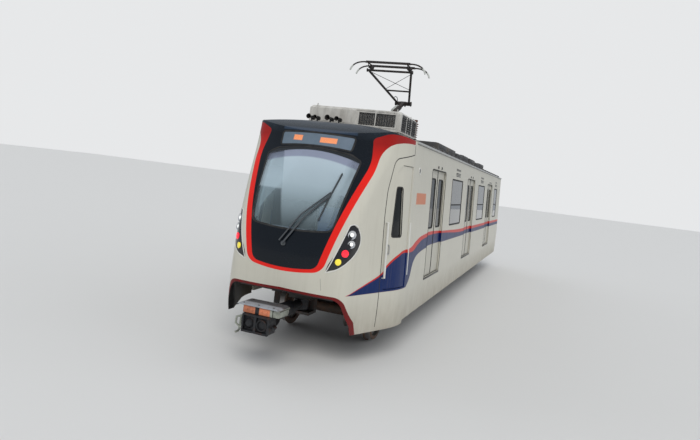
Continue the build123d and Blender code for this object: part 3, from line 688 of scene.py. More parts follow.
def cloth(name, colour):
    """Woven moquette with a fleck."""
    f = Finish(name)
    weave = (f.x * 900.0 + f.z * 500.0).wave() * (f.y * 900.0).wave()
    fleck = f.cells(70.0).rise(0.22, 0.10)
    tone = f.mix(fleck * 0.6, colour, (0.10, 0.16, 0.30))
    tone = f.mix(weave.rise(-0.5, 1.0) * 0.35, tone, dimmed(colour, 0.5))
    return f.done(f.shader(tone, 0.88, sheen_weight=0.35, normal=f.bump(weave, 0.0006)))


def rubber(name, colour=(0.016, 0.016, 0.017)):
    f = Finish(name)
    tone = f.mix(f.noise(8.0, 5.0).rise(0.4, 0.8) * 0.5, colour, (0.07, 0.065, 0.06))
    return f.done(f.shader(tone, 0.62 + f.noise(30.0) * 0.15, normal=f.bump(f.noise(120.0), 0.0004)))


def steel(name, colour=(0.60, 0.60, 0.60), rough=0.3):
    f = Finish(name)
    grain = f.noise(1.0, 3.0, 0.6, f.stretched(60.0, 60.0, 4.0))
    tone = f.mix(grain * 0.4, colour, dimmed(colour, 0.6))
    return f.done(f.shader(tone, rough + grain * 0.2, metallic=0.9, normal=f.bump(grain, 0.0003)))


def porcelain():
    """Brown glazed insulator with soot in its grooves."""
    f = Finish("porcelain")
    soot = f.noise(12.0, 5.0, 0.7).rise(0.45, 0.8)
    tone = f.mix(soot * 0.6, (0.12, 0.045, 0.022), SOOT)
    return f.done(f.shader(tone, 0.18 + soot * 0.4, normal=f.bump(f.noise(50.0), 0.0004), coat_weight=0.5))


def glow(name, colour, strength):
    f = Finish(name)
    cells = f.cells(260.0)
    light = f.mix(cells.rise(0.0, 0.5) * 0.3, colour, dimmed(colour, 0.7))
    return f.done(f.shader(colour, 0.2, emission_color=light, emission_strength=strength, coat_weight=0.6))


def floor_finish():
    f = Finish("studio_floor")
    tone = f.mix(f.noise(0.6, 3.0) * 0.2, (0.70, 0.70, 0.69), (0.66, 0.66, 0.65))
    return f.done(f.shader(tone, 0.8))


def bulkhead_panel():
    """Pale panel on the saloon's side and a dark one towards the cab."""
    f = Finish("bulkhead_panel")
    tone = f.mix(f.x.rise(5.90, 5.905), (0.58, 0.59, 0.57), (0.030, 0.034, 0.033))
    tone = f.mix(f.noise(3.0, 3.0) * 0.25, tone, SOOT)
    return f.done(f.shader(tone, 0.5 + f.noise(12.0) * 0.1, normal=f.bump(f.cells(220.0), 0.0004)))


FINISHES = {}


def finish(name):
    return FINISHES[name]


def make_finishes():
    made = FINISHES
    made["body"] = painted("body_paint", paint("body"), with_livery=True)
    made["nose"] = nose_paint()
    made["door"] = glazed("door_paint", paint("door"), leaf_pane)
    made["cab_door"] = glazed("cab_door_paint", paint("body"), cab_pane)
    made["lip"] = lip_paint()
    made["roof"] = roof_paint()
    made["underframe"] = dark_metal("underframe_paint", (0.035, 0.035, 0.037))
    made["bogie"] = dark_metal("bogie_paint", (0.040, 0.038, 0.036), 0.6, 0.5, 0.6)
    made["iron"] = dark_metal("cast_iron", (0.045, 0.042, 0.040), 0.5, 0.6, 0.5, 0.4)
    made["arm"] = dark_metal("arm_steel", (0.034, 0.030, 0.029), 0.5, 0.35, 0.12, 0.3)
    made["dark_case"] = case_paint("dark_case", (0.050, 0.050, 0.052))
    made["white_case"] = case_paint("white_case", (0.58, 0.57, 0.54))
    made["grille"] = dark_metal("grille_mesh", (0.040, 0.042, 0.046), 0.45, 0.1, 0.3)
    made["wheel"] = wheel_steel()
    made["coupler"] = coupler_iron()
    made["ac"] = case_paint("ac_paint", (0.58, 0.57, 0.54), radiators)
    made["frame"] = frame_steel()
    made["notice"] = notice_sheet()
    made["smoke"] = plastic("smoke_lens", (0.014, 0.016, 0.020), 0.14)
    made["strip"] = dark_metal("carbon_strip", (0.030, 0.030, 0.033), 0.40, 0.05, 0.05)
    made["sleeve"] = plastic("pale_sleeve", (0.55, 0.57, 0.54))
    made["light"] = glow("light_panel", (0.80, 0.82, 0.80), 0.7)
    made["bulkhead"] = bulkhead_panel()
    made["window"] = glass("window_glass", (0.12, 0.14, 0.15), 0.22, reflection_z=WINDOW_BAR_Z)
    made["front"] = front_skin()
    made["bellows"] = rubber("bellows_rubber", (0.020, 0.020, 0.022))
    made["seal"] = rubber("seal_rubber")
    made["desk"] = plastic("desk_plastic", (0.020, 0.075, 0.20))
    made["bench"] = plastic("bench_plastic", (0.04, 0.13, 0.32), 0.35)
    made["shell"] = plastic("seat_shell", (0.03, 0.03, 0.035))
    made["cloth"] = cloth("seat_cloth", (0.012, 0.070, 0.21))
    made["wiper"] = steel("wiper_steel", (0.16, 0.17, 0.18), 0.30)
    made["pole"] = steel("pole_steel")
    made["porcelain"] = porcelain()
    made["rim"] = painted("rim_paint", (0.66, 0.66, 0.63))
    made["chrome"] = steel("chrome", (0.80, 0.81, 0.83), 0.12)
    made["red_lamp"] = glow("red_lamp", (0.80, 0.012, 0.03), 0.9)
    made["amber_lamp"] = glow("amber_lamp", (0.72, 0.60, 0.05), 0.5)
    made["black_steel"] = dark_metal("black_steel", (0.016, 0.016, 0.017), 0.35, 0.05, 0.1)


# Finish of each node; doors and wheelsets are added below
NODE_FINISH = {
    "left_side": "body", "right_side": "body", "rear_wall": "body", "cab_side": "nose", "nose_panel": "front",
    "roof": "roof", "floor": "underframe", "cab_floor": "underframe", "nose_band": "front", "nose_mask": "front",
    "windscreen": "front", "route_display": "front", "headlights": "front", "arch_lip": "lip",
    "side_windows": "window", "cab_bulkhead": "bulkhead", "cab_desk": "desk", "cab_seat": "shell",
    "saloon_seats": "bench", "grab_poles": "pole", "underfloor_cases": "dark_case",
    "coupler_bracket": "iron", "rear_bracket": "iron", "front_coupler": "coupler", "rear_coupler": "iron",
    "gangway_bellows": "bellows", "ac_case": "ac", "ac_grille": "grille", "roof_cases": "dark_case",
    "pantograph_base": "frame", "front_bogie_frame": "bogie", "rear_bogie_frame": "bogie",
}


def finish_of(node):
    if node in NODE_FINISH:
        return finish(NODE_FINISH[node])
    if node.startswith("cab_door"):
        return finish("cab_door")
    if "_door_" in node:
        return finish("door")
    if "_wheelset_" in node:
        return finish("wheel")
    return finish("arm")


def assign(obj, material):
    obj.data.materials.clear()
    obj.data.materials.append(material)


def link_object(obj):
    bpy.context.scene.collection.objects.link(obj)
    return obj


# Stage

def camera_frame():
    """Directions of the camera: right, up and forward."""
    forward = Vector((-math.cos(YAW) * math.cos(PITCH), -math.sin(YAW) * math.cos(PITCH), -math.sin(PITCH)))
    right = forward.cross(Vector((0, 0, 1))).normalized()
    up = right.cross(forward)
    turned_right = math.cos(ROLL) * right + math.sin(ROLL) * up
    turned_up = -math.sin(ROLL) * right + math.cos(ROLL) * up
    return turned_right, turned_up, forward


def make_camera():
    data = bpy.data.cameras.new("photo_camera")
    data.sensor_width = SENSOR_MM
    data.lens = FOCAL_PIXELS / PHOTO_WIDTH * SENSOR_MM
    data.clip_end = 300.0
    camera = link_object(bpy.data.objects.new("photo_camera", data))
    right, up, forward = camera_frame()
    turn = Matrix((right, up, -forward)).transposed()
    camera.matrix_world = Matrix.Translation(EYE) @ turn.to_4x4()
    bpy.context.scene.camera = camera


def make_lamp(name, aim, strength, softness, colour):
    """Far-off soft lamp that shines along a direction."""
    data = bpy.data.lights.new(name, "SUN")
    data.energy = strength
    data.angle = math.radians(softness)
    data.color = colour
    lamp = link_object(bpy.data.objects.new(name, data))
    lamp.rotation_euler = Vector(aim).to_track_quat("-Z", "Y").to_euler()
    lamp.visible_glossy = False


def make_world():
    """Pale backdrop for the camera and through glass, a softer one in reflections and a cool one as light."""
    world = bpy.data.worlds.new("studio")
    world.use_nodes = True
    tree = world.node_tree
    tree.nodes.clear()
    path = tree.nodes.new("ShaderNodeLightPath")
    last = tree.nodes.new("ShaderNodeBackground")
    last.inputs["Color"].default_value = (0.82, 0.86, 0.92, 1.0)
    last.inputs["Strength"].default_value = 0.55
    for ray, colour, strength in (("Is Glossy Ray", (0.78, 0.83, 0.90), 0.50),
                                  ("Is Transmission Ray", (0.84, 0.85, 0.86), 0.95),
                                  ("Is Camera Ray", (0.84, 0.85, 0.86), 0.95)):
        shown = tree.nodes.new("ShaderNodeBackground")
        shown.inputs["Color"].default_value = (*colour, 1.0)
        shown.inputs["Strength"].default_value = strength
        mixed = tree.nodes.new("ShaderNodeMixShader")
        tree.links.new(path.outputs[ray], mixed.inputs[0])
        tree.links.new(last.outputs[0], mixed.inputs[1])
        tree.links.new(shown.outputs[0], mixed.inputs[2])
        last = mixed
    output = tree.nodes.new("ShaderNodeOutputWorld")
    tree.links.new(last.outputs[0], output.inputs["Surface"])
    bpy.context.scene.world = world


def make_floor(half):
    mesh = bpy.data.meshes.new("studio_floor")
    mesh.from_pydata([(-half, -half, 0), (half, -half, 0), (half, half, 0), (-half, half, 0)], [], [(0, 1, 2, 3)])
    mesh.materials.append(floor_finish())
    link_object(bpy.data.objects.new("studio_floor", mesh))


class MetroStage(bpy.types.PropertyGroup):
    floor_half: bpy.props.FloatProperty(name="Floor half size", description="Half width of the floor",
                                        default=150.0, min=20.0, unit="LENGTH")
    main_strength: bpy.props.FloatProperty(name="Main lamp", description="Strength of the main lamp",
                                           default=1.7, min=0.0)
    fill_strength: bpy.props.FloatProperty(name="Fill lamps", description="Strength of the two fill lamps",
                                           default=0.45, min=0.0)


class METRO_OT_stage(bpy.types.Operator):
    """Make the camera, floor, lamps and surroundings"""
    bl_idname = "metro.stage"
    bl_label = "Stage"

    def execute(self, context):
        sizes = context.scene.metro_stage
        make_camera()
        make_world()
        make_floor(sizes.floor_half)
        make_lamp("main_lamp", (-0.75, -0.30, -0.75), sizes.main_strength, 35.0, (1.0, 0.98, 0.94))
        make_lamp("fill_lamp", (0.35, -0.85, -0.45), sizes.fill_strength, 60.0, (0.97, 0.98, 1.0))
        make_lamp("far_lamp", (0.30, 0.85, -0.45), sizes.fill_strength, 60.0, (0.97, 0.98, 1.0))
        context.scene.view_settings.view_transform = "Standard"
        return {"FINISHED"}


class METRO_OT_finishes(bpy.types.Operator):
    """Make the finishes and put one on every node"""
    bl_idname = "metro.finishes"
    bl_label = "Finishes"

    def execute(self, context):
        make_finishes()
        for node, obj in NODES.items():
            assign(obj, finish_of(node))
        return {"FINISHED"}


# Body sizes that the source's solids have, in metres
HALF_WIDTH = 1.325
WAIST_Z = 1.228
LEAN = 0.05
CAB_X = 6.05
BEND_R = 1.5
TAPER = math.radians(21.0)
SIDES = (1, -1)
SIDE_NAME = {1: "left", -1: "right"}

# Directions in the shared frame
AHEAD = (1, 0, 0)
LEFT = (0, 1, 0)
UP = (0, 0, 1)


def half_width(z):
    """Outer half width of the body at a height."""
    return HALF_WIDTH - LEAN * max(0.0, z - WAIST_Z)


def taper_y(x, z, inset=0.0):
    """Half width of the nose's side, behind its front corner."""
    bend_end = CAB_X + BEND_R * math.sin(TAPER)
    if x < CAB_X:
        drop = 0.0
    elif x < bend_end:
        drop = BEND_R - math.sqrt(BEND_R ** 2 - (x - CAB_X) ** 2)
    else:
        drop = BEND_R * (1 - math.cos(TAPER)) + (x - bend_end) * math.tan(TAPER)
    return half_width(z) - drop - inset


# Mesh helpers

def rounded(corners, radii, steps=6):
    """Closed outline with rounded corners, from two-number points."""
    made = []
    for i, (corner, radius) in enumerate(zip(corners, radii)):
        here = Vector(corner)
        if not radius:
            made.append(here)
            continue
        back = (Vector(corners[i - 1]) - here).normalized()
        ahead = (Vector(corners[(i + 1) % len(corners)]) - here).normalized()
        half = back.angle(ahead) / 2
        centre = here + (back + ahead).normalized() * (radius / math.sin(half))
        start = here + back * (radius / math.tan(half)) - centre
        end = here + ahead * (radius / math.tan(half)) - centre
        for k in range(steps + 1):
            turned = start.lerp(end, k / steps).normalized() * radius
            made.append(centre + turned)
    return made


def rectangle(a0, a1, b0, b1, radius, steps=6):
    return rounded([(a0, b0), (a1, b0), (a1, b1), (a0, b1)], [radius] * 4, steps)


def denser(outline, step):
    """The same closed outline with more points on its long runs."""
    made = []
    for here, ahead in zip(outline, outline[1:] + outline[:1]):
        count = max(1, round((ahead - here).length / step))
        made += [here.lerp(ahead, k / count) for k in range(count)]
    return made


def ends_of(points, i, closed):
    """The points before and after one point of a run."""
    back = points[i - 1] if i or closed else points[i]
    return back, points[(i + 1) % len(points)] if i + 1 < len(points) or closed else points[i]


def round_about(side, other, r, count, first=0.0):
    """Offsets to points on a circle that two directions span."""
    angles = [first + 2 * math.pi * k / count for k in range(count)]
    return [(side * math.cos(angle) + other * math.sin(angle)) * r for angle in angles]


def axis_frame(axis):
    """An axis as a unit vector, with two directions square to it."""
    axis = Vector(axis).normalized()
    side = axis.orthogonal().normalized()
    return axis, side, axis.cross(side)


class Shape:
    """A mesh that is being made from bars, blocks, turned parts and mouldings."""

    def __init__(self):
        self.bm = bmesh.new()

    def rings(self, loops, closed_along):
        """Skin over closed loops that all have the same number of points, with caps on open ends."""
        grid = [[self.bm.verts.new(p) for p in loop] for loop in loops]
        count = len(grid[0])
        for a, b in zip(grid, grid[1:] + grid[:1] if closed_along else grid[1:]):
            for i in range(count):
                j = (i + 1) % count
                self.bm.faces.new((a[i], a[j], b[j], b[i]))
        if not closed_along:
            self.bm.faces.new(list(reversed(grid[0])))
            self.bm.faces.new(grid[-1])
        return self

    def bar(self, points, r, sides=10, closed=False):
        """Round bar that follows points."""
        points = [Vector(p) for p in points]
        loops = []
        side = None
        for i, here in enumerate(points):
            back, ahead = ends_of(points, i, closed)
            run = (ahead - back).normalized()
            if side is None:
                side = run.orthogonal().normalized()
            side = (side - run * side.dot(run)).normalized()
            other = run.cross(side)
            widen = 1.0
            if 0 < i < len(points) - 1 or closed:
                turn = (ahead - here).angle(here - back, 0.0)
                widen = 1.0 / max(0.5, math.cos(turn / 2))
            loops.append([here + offset for offset in round_about(side, other, r * widen, sides)])
        return self.rings(loops, closed)

    def turned(self, profile, base, axis, sides=20):
        """Part turned about an axis, from pairs of radius and distance along it."""
        axis, side, other = axis_frame(axis)
        loops = []
        for r, along in profile:
            middle = Vector(base) + axis * along
            loops.append([middle + offset for offset in round_about(side, other, max(r, 1e-5), sides)])
        return self.rings(loops, False)

    def block(self, low, high, edge=0.0, turn=None):
        """Box with rounded edges between two opposite corners; turn is a matrix applied about its middle."""
        low, high = [Vector([pick(pair) for pair in zip(low, high)]) for pick in (min, max)]
        made = bmesh.ops.create_cube(self.bm, size=1.0)["verts"]
        size = high - low
        for vert in made:
            vert.co = Vector((vert.co.x * size.x, vert.co.y * size.y, vert.co.z * size.z))
        if edge:
            edges = list({e for v in made for e in v.link_edges})
            bevelled = bmesh.ops.bevel(self.bm, geom=edges, offset=edge, segments=2, profile=0.5, affect="EDGES")
            made = list({v for f in bevelled["faces"] for v in f.verts} | {v for v in made if v.is_valid})
        middle = (low + high) / 2
        for vert in made:
            vert.co = middle + (turn @ vert.co if turn is not None else vert.co)
        return self

    def moulding(self, points, normals, wide, high, sunk=0.002, closed=True):
        """Flat strip with rounded edges that lies on a surface and follows points."""
        points = [Vector(p) for p in points]
        loops = []
        for i, here in enumerate(points):
            back, ahead = ends_of(points, i, closed)
            run = (ahead - back).normalized()
            up = Vector(normals[i])
            across = run.cross(up).normalized()
            half = wide / 2
            section = ((-half, -sunk), (-half, high * 0.5), (-half * 0.7, high), (half * 0.7, high),
                       (half, high * 0.5), (half, -sunk))
            loops.append([here + across * a + up * b for a, b in section])
        return self.rings(loops, closed)

    def plate(self, outline, thickness, normal):
        """Flat plate from a closed outline of points in space."""
        normal = Vector(normal)
        low = [Vector(p) for p in outline]
        return self.rings([low, [p + normal * thickness for p in low]], False)

    def mirrored(self):
        """Adds the same forms on the other side of the car."""
        copied = bmesh.ops.duplicate(self.bm, geom=self.bm.verts[:] + self.bm.edges[:] + self.bm.faces[:])["geom"]
        for item in copied:
            if isinstance(item, bmesh.types.BMVert):
                item.co.y = -item.co.y
        return self

    def done(self, name, material, body="car", slot=None, sharp=35.0):
        """Makes the piece, with its finish and the body that it rides on."""
        bmesh.ops.recalc_face_normals(self.bm, faces=self.bm.faces[:])
        mesh = bpy.data.meshes.new(name)
        self.bm.to_mesh(mesh)
        self.bm.free()
        for face in mesh.polygons:
            face.use_smooth = True
        mesh.set_sharp_from_angle(angle=math.radians(sharp))
        return place_piece(mesh, name, material, body)


def place_piece(mesh, name, material, body="car"):
    mesh.materials.clear()
    mesh.materials.append(finish(material))
    obj = link_object(bpy.data.objects.new(name, mesh))
    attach(obj, body)
    return obj


def surface_of(*nodes):
    """Search tree over the faces of CAD nodes."""
    points = []
    faces = []
    for node in nodes:
        mesh = NODES[node].data
        start = len(points)
        points += [v.co.copy() for v in mesh.vertices]
        faces += [[start + i for i in face.vertices] for face in mesh.polygons]
    return BVHTree.FromPolygons(points, faces)


class Nose:
    """Finds points on the front of the nose."""
    tree = None

    @classmethod
    def at(cls, y, z, out=0.0):
        """Point and normal at a place seen from the front."""
        if cls.tree is None:
            cls.tree = surface_of("nose_panel", "nose_band", "nose_mask", "windscreen", "route_display",
                                  "headlights")
        for nudge in (0.0, 0.0006, -0.0006, 0.0015, -0.0015):
            hit, normal, _, _ = cls.tree.ray_cast(Vector((9.0, y + nudge, z + nudge)), Vector((-1, 0, 0)))
            if hit is not None and normal.x > 0.02:
                return hit + normal * out, normal
        raise ValueError("nothing in front at %.3f, %.3f" % (y, z))

    @classmethod
    def path(cls, outline, out=0.0):
        found = [cls.at(y, z, out) for y, z in outline]
        return [p for p, _ in found], [n for _, n in found]


def whole_front(half, radii, steps=8):
    """Rounded outline of both halves, from the left half that starts in the middle."""
    other = [((-y, z), radius) for (y, z), radius in zip(half, radii) if y > 0]
    corners = list(half) + [corner for corner, _ in reversed(other)]
    return rounded(corners, list(radii) + [radius for _, radius in reversed(other)], steps)


# Outlines on the nose, as y and z of the left half with the radius of each corner
SCREEN = ((0.0, 1.810), (0.600, 1.870), (0.715, 2.840), (0.560, 2.922), (0.0, 2.998))
SCREEN_RADII = (4.5, 0.110, 0.060, 0.200, 2.9)
DISPLAY = ((0.0, 3.020), (0.545, 2.966), (0.565, 3.168), (0.0, 3.195))
DISPLAY_RADII = (4.5, 0.030, 0.040, 8.0)
MASK = ((0.0, 1.300), (0.470, 1.362), (0.852, 2.830), (0.792, 3.185), (1.000, 3.282), (1.350, 3.300))
MASK_RADII = (2.6, 0.130, 0.600, 0.060, 0.300, 0)
BAND = ((0.0, 1.240), (0.552, 1.330), (0.922, 2.720), (0.955, 3.190), (1.350, 3.217))
BAND_RADII = (2.6, 0.190, 0.900, 0.330, 0)
LAMP_INNER = ((0.598, 1.300), (0.598, 1.338), (0.712, 1.640), (0.795, 1.950), (0.845, 2.050))
LAMP_OUTER = ((0.590, 1.300), (0.598, 1.338), (0.765, 1.415), (0.880, 1.560), (0.922, 1.740), (0.893, 1.945),
              (0.845, 1.998), (0.800, 2.050))
LAMP_ARCS = (((0.598, 1.338), (0.712, 1.640), (0.795, 1.950)), ((0.795, 1.950), (0.845, 1.998), (0.893, 1.945)),
             ((0.893, 1.945), (0.922, 1.740), (0.880, 1.560)), ((0.880, 1.560), (0.765, 1.415), (0.598, 1.338)))
LAMPS = ((0.842, 1.862, 0.056), (0.852, 1.738, 0.050), (0.806, 1.612, 0.050), (0.744, 1.494, 0.044))
LAMP_AIM = (math.cos(math.radians(40.0)), math.sin(math.radians(40.0)), 0.0)
WIPER_PIVOT = (-0.025, 1.640)
WIPER_BEND = (0.200, 2.000)
WIPER_ELBOW = (0.470, 2.335)
WIPER_BLADE = ((0.392, 1.990), (0.455, 2.310), (0.522, 2.640))

# Joint between the nose module and the body, as places along the car and heights
SHUT_LINE = ((6.150, 3.060), (6.690, 2.950), (6.820, 2.500), (6.845, 2.150), (6.840, 0.560))
SHUT_RADII = (0.0, 0.160, 0.600, 0.0, 0.0)
RAIL_X = (6.090, 6.800)
RAIL_Z = (1.260, 2.050)

# Lamps and vents on the sides; profiles are pairs of radius and height
SIDE_LAMP_X = (5.760, -7.300)
SIDE_LAMP_Z = 2.840
SIDE_RING = ((0.042, -0.004), (0.060, -0.004), (0.060, 0.004), (0.0552, 0.008), (0.042, 0.006), (0.042, 0.0))
SIDE_LAMP = ((0.0432, -0.003), (0.042, 0.002), (0.024, 0.007), (0.0, 0.008))
DOOR_LAMP_Z = 2.982
DOOR_LAMP = ((0.030, -0.003), (0.030, 0.003), (0.018, 0.012), (0.0, 0.014))
VENTS = ((3.050, 0.022), (2.950, 0.042))
VENT_HALF = 0.280

# Doors and windows on the sides
DOOR_X = (4.130, -0.070, -4.270)
DOOR_HALF = 0.650
DOOR_TOP_Z = 2.930
FLOOR_Z = 1.050
LEAF_INSET = 0.034
LEAF_REACH = 0.680
LEAF_RIM = 0.130
LEAF_WINDOW_Z = (1.900, 2.770)
WINDOWS = ((2.030, 1.380), (-2.170, 1.380), (-6.090, 0.900))
WINDOW_Z = (1.900, 2.830)
CAB_WINDOW = ((6.400, 1.840), (6.650, 1.840), (6.600, 2.560), (6.450, 2.560))
CAB_DOOR_INSET = 0.012


def arc_through(start, middle, end, count=10):
    """Points on the arc through three two-number points, without the last."""
    a, b, c = Vector(start), Vector(middle), Vector(end)
    d = 2 * (a.x * (b.y - c.y) + b.x * (c.y - a.y) + c.x * (a.y - b.y))
    ux = (a.dot(a) * (b.y - c.y) + b.dot(b) * (c.y - a.y) + c.dot(c) * (a.y - b.y)) / d
    uy = (a.dot(a) * (c.x - b.x) + b.dot(b) * (a.x - c.x) + c.dot(c) * (b.x - a.x)) / d
    centre = Vector((ux, uy))
    angles = [math.atan2(p.y - uy, p.x - ux) for p in (a, b, c)]
    sweep = sum((after - before + math.pi) % (2 * math.pi) - math.pi for before, after in zip(angles, angles[1:]))
    turned = [angles[0] + sweep * k / count for k in range(count)]
    return [centre + Vector((math.cos(angle), math.sin(angle))) * (a - centre).length for angle in turned]


def side_path(outline, side, depth=0.0):
    """Points and normals of an outline of x and z on one side of the body."""
    points = []
    normals = []
    for x, z in outline:
        y = taper_y(x, z, depth)
        slope = (taper_y(x + 0.01, z) - taper_y(x - 0.01, z)) / 0.02
        lean = LEAN if z > WAIST_Z else 0.0
        points.append((x, side * y, z))
        normals.append(Vector((-slope, side, lean)).normalized())
    return points, normals


def make_screen_seals():
    shape = Shape()
    for half, radii in ((SCREEN, SCREEN_RADII), (DISPLAY, DISPLAY_RADII)):
        shape.moulding(*Nose.path(denser(whole_front(half, radii), 0.05)), 0.026, 0.004)
    shape.done("screen_seals", "seal", slot="bellows_rubber")


def make_lamp_rims():
    shape = Shape()
    outline = [point for arc in LAMP_ARCS for point in arc_through(*arc)]
    shape.moulding(*Nose.path(outline), 0.014, 0.005)
    shape.mirrored().done("headlight_rims", "rim", slot="body_paint")


def dome(shape, number, share, high, ribs=0.0):
    """Bulging lens on the face of one lamp; share is its part of the lamp's radius."""
    y, z, r = LAMPS[number]
    place, _ = Nose.at(y, z)
    profile = [(r * share, -0.012)]
    for k in range(9):
        angle = math.radians(90.0 - k * 11.0)
        ripple = ribs if k % 2 else 0.0
        profile.append((math.sin(angle) * (r * share + ripple), math.cos(angle) * high + ripple * 0.5))
    shape.turned(profile + [(0.0, high)], place, LAMP_AIM, 28)


def make_projectors():
    """Chromed bowls with clear bulging lenses on the two main lamps, and ribbed red and amber lenses."""
    bowls = Shape()
    cores = Shape()
    for number in (0, 1):
        y, z, r = LAMPS[number]
        place, _ = Nose.at(y, z)
        profile = ((0.0, 0.001), (r * 0.55, 0.001), (r * 0.86, 0.005), (r, 0.009), (r * 1.06, 0.006),
                   (r * 1.06, -0.012), (0.0, -0.012))
        bowls.turned(profile, place, LAMP_AIM, 32)
        dome(cores, number, 0.50, 0.012)
    bowls.mirrored().done("lamp_bowls", "chrome", slot="pole_steel")
    cores.mirrored().done("main_lamp_lenses", "light", slot="lamp_glass")
    for number, name, material in ((2, "tail", "red_lamp"), (3, "signal", "amber_lamp")):
        lens = Shape()
        dome(lens, number, 1.0, 0.014, 0.0012)
        lens.mirrored().done(name + "_lamp_lenses", material, slot="lamp_glass")


def make_wiper():
    """Twin arms and a blade that rest on the screen, from the spindle on the mask."""
    def at(point, out):
        return Nose.at(*point, out)[0]

    arms = Shape()
    base, normal = Nose.at(*WIPER_PIVOT)
    spindle = ((0.0, -0.004), (0.036, -0.004), (0.034, 0.016), (0.020, 0.024), (0.016, 0.048), (0.0, 0.050))
    arms.turned(spindle, base, normal)
    line = (WIPER_PIVOT, WIPER_BEND, WIPER_ELBOW)
    for shift, r in ((0.0, 0.014), (0.055, 0.011)):
        shifted = [(y - shift * share, z + shift * 0.5) for (y, z), share in zip(line, (1.0, 1.0, 0.25))]
        arms.bar([at(point, out) for point, out in zip(shifted, (0.036, 0.046, 0.040))], r, 8)
    arms.bar([at(WIPER_ELBOW, 0.046), at(WIPER_BLADE[1], 0.030)], 0.012, 8)
    arms.bar([at(point, 0.026) for point in WIPER_BLADE], 0.010, 8)
    arms.done("wiper_arms", "wiper", slot="dark_steel")
    rubber_edge = Shape()
    rubber_edge.bar([at(point, 0.010) for point in WIPER_BLADE], 0.009, 6)
    rubber_edge.done("wiper_rubber", "seal", slot="bellows_rubber")


# Fittings on the skin of the cab and sides

def cast(tree, start, aim):
    """Point and outward normal where a straight line meets a surface."""
    hit, normal, _, _ = tree.ray_cast(Vector(start), Vector(aim))
    return hit, -normal if normal.dot(Vector(aim)) > 0 else normal


def make_shut_lines():
    """Dark joint between the nose module and the body, on both sides and over the dome."""
    skin = surface_of("cab_side", "nose_panel", "nose_band", "nose_mask", "cab_door_left", "cab_door_right")
    shape = Shape()
    corners = [(SHUT_LINE[0][0], 3.19)] + list(SHUT_LINE)
    line = rounded(corners, (0.0,) + SHUT_RADII)
    line = [here.lerp(ahead, k / 8) for here, ahead in zip(line, line[1:]) for k in range(8)] + line[-1:]
    runs = [[cast(skin, (x, side * 3.0, z), (0, -side, 0)) for x, z in line] for side in SIDES]
    runs.append([cast(skin, (SHUT_LINE[0][0], y, 4.5), (0, 0, -1)) for y in steps(-1.18, 1.18, 33)])
    for found in runs:
        shape.moulding(*zip(*found), 0.013, 0.0015, 0.003, closed=False)
    shape.done("shut_line_seals", "seal", slot="bellows_rubber")


def make_handrails():
    """White rails on both sides of each cab door."""
    shape = Shape()
    for side in SIDES:
        for x, out in ((RAIL_X[0], -0.002), (RAIL_X[1], 0.030)):
            ends, inner = [[(x, side * (taper_y(x, z) + y), z) for z in RAIL_Z] for y in (out, -0.004)]
            shape.bar([inner[0], ends[0], ends[1], inner[1]] if out > 0 else ends, 0.011, 10)
    shape.done("cab_handrails", "rim", slot="pole_steel")


def make_side_fittings():
    """Notice plates, side lamps, lamps over the doors and vents over the windows."""
    notices, lamps, rings, vents, bars = [Shape() for _ in range(5)]
    for side in SIDES:
        points, normals = side_path(rectangle(*NOTICE_X, *NOTICE_Z, 0.012, 3), side, 0.001)
        notices.plate(points, 0.0035, normals[0])
        for points, normals in [side_path([(x, SIDE_LAMP_Z)], side) for x in SIDE_LAMP_X]:
            rings.turned(SIDE_RING, points[0], normals[0], 28)
            lamps.turned(SIDE_LAMP, points[0], normals[0], 24)
        for points, normals in [side_path([(x + dx, DOOR_LAMP_Z)], side) for x in DOOR_X for dx in (-0.16, 0.16)]:
            lamps.turned(DOOR_LAMP, points[0], normals[0], 20)
        for x, wide in WINDOWS:
            for z, high in VENTS:
                y = half_width(z)
                for k in range(3):
                    low_z = z - high + k * high * 0.7
                    vents.block((x - VENT_HALF, side * (y - 0.006), low_z),
                                (x + VENT_HALF, side * (y + 0.003), low_z + high * 0.40), 0.001)
            bar = [(x - wide / 2 + 0.01, WINDOW_BAR_Z), (x + wide / 2 - 0.01, WINDOW_BAR_Z)]
            bars.moulding(*side_path(bar, side, 0.004), 0.028, 0.006, closed=False)
    notices.done("notice_plates", "notice", slot="body_paint")
    rings.done("side_lamp_rings", "rim", slot="body_paint")
    lamps.done("side_lamps", "smoke", slot="lamp_glass")
    vents.done("side_vents", "black_steel", slot="dark_steel")
    bars.done("window_bars", "seal", slot="bellows_rubber")


def make_window_seals():
    for side in SIDES:
        shape = Shape()
        for x, wide in WINDOWS:
            outline = denser(rectangle(x - wide / 2, x + wide / 2, *WINDOW_Z, 0.04), 0.12)
            shape.moulding(*side_path(outline, side), 0.030, 0.004)
        shape.done(SIDE_NAME[side] + "_window_seals", "seal", slot="bellows_rubber")


def leaf_span(x, part):
    return (x + 0.003, x + LEAF_REACH) if part == "a" else (x - LEAF_REACH, x - 0.003)


def make_leaf_trim():
    """Window seals and edge rubber of every passenger door leaf."""
    for side in SIDES:
        for number, x in enumerate(DOOR_X, start=1):
            for part in "ab":
                body = "%s_door_%d%s" % (SIDE_NAME[side], number, part)
                x0, x1 = leaf_span(x, part)
                outline = denser(rectangle(x0 + LEAF_RIM, x1 - LEAF_RIM, *LEAF_WINDOW_Z, 0.06), 0.12)
                shape = Shape().moulding(*side_path(outline, side, LEAF_INSET), 0.024, 0.004)
                edge_x = x0 + 0.010 if part == "a" else x1 - 0.010
                line = [(edge_x, z) for z in (FLOOR_Z + 0.012, WAIST_Z, DOOR_TOP_Z - 0.012)]
                shape.moulding(*side_path(line, side, LEAF_INSET), 0.018, 0.004, closed=False)
                shape.done(body + "_rubber", "seal", body, "bellows_rubber")


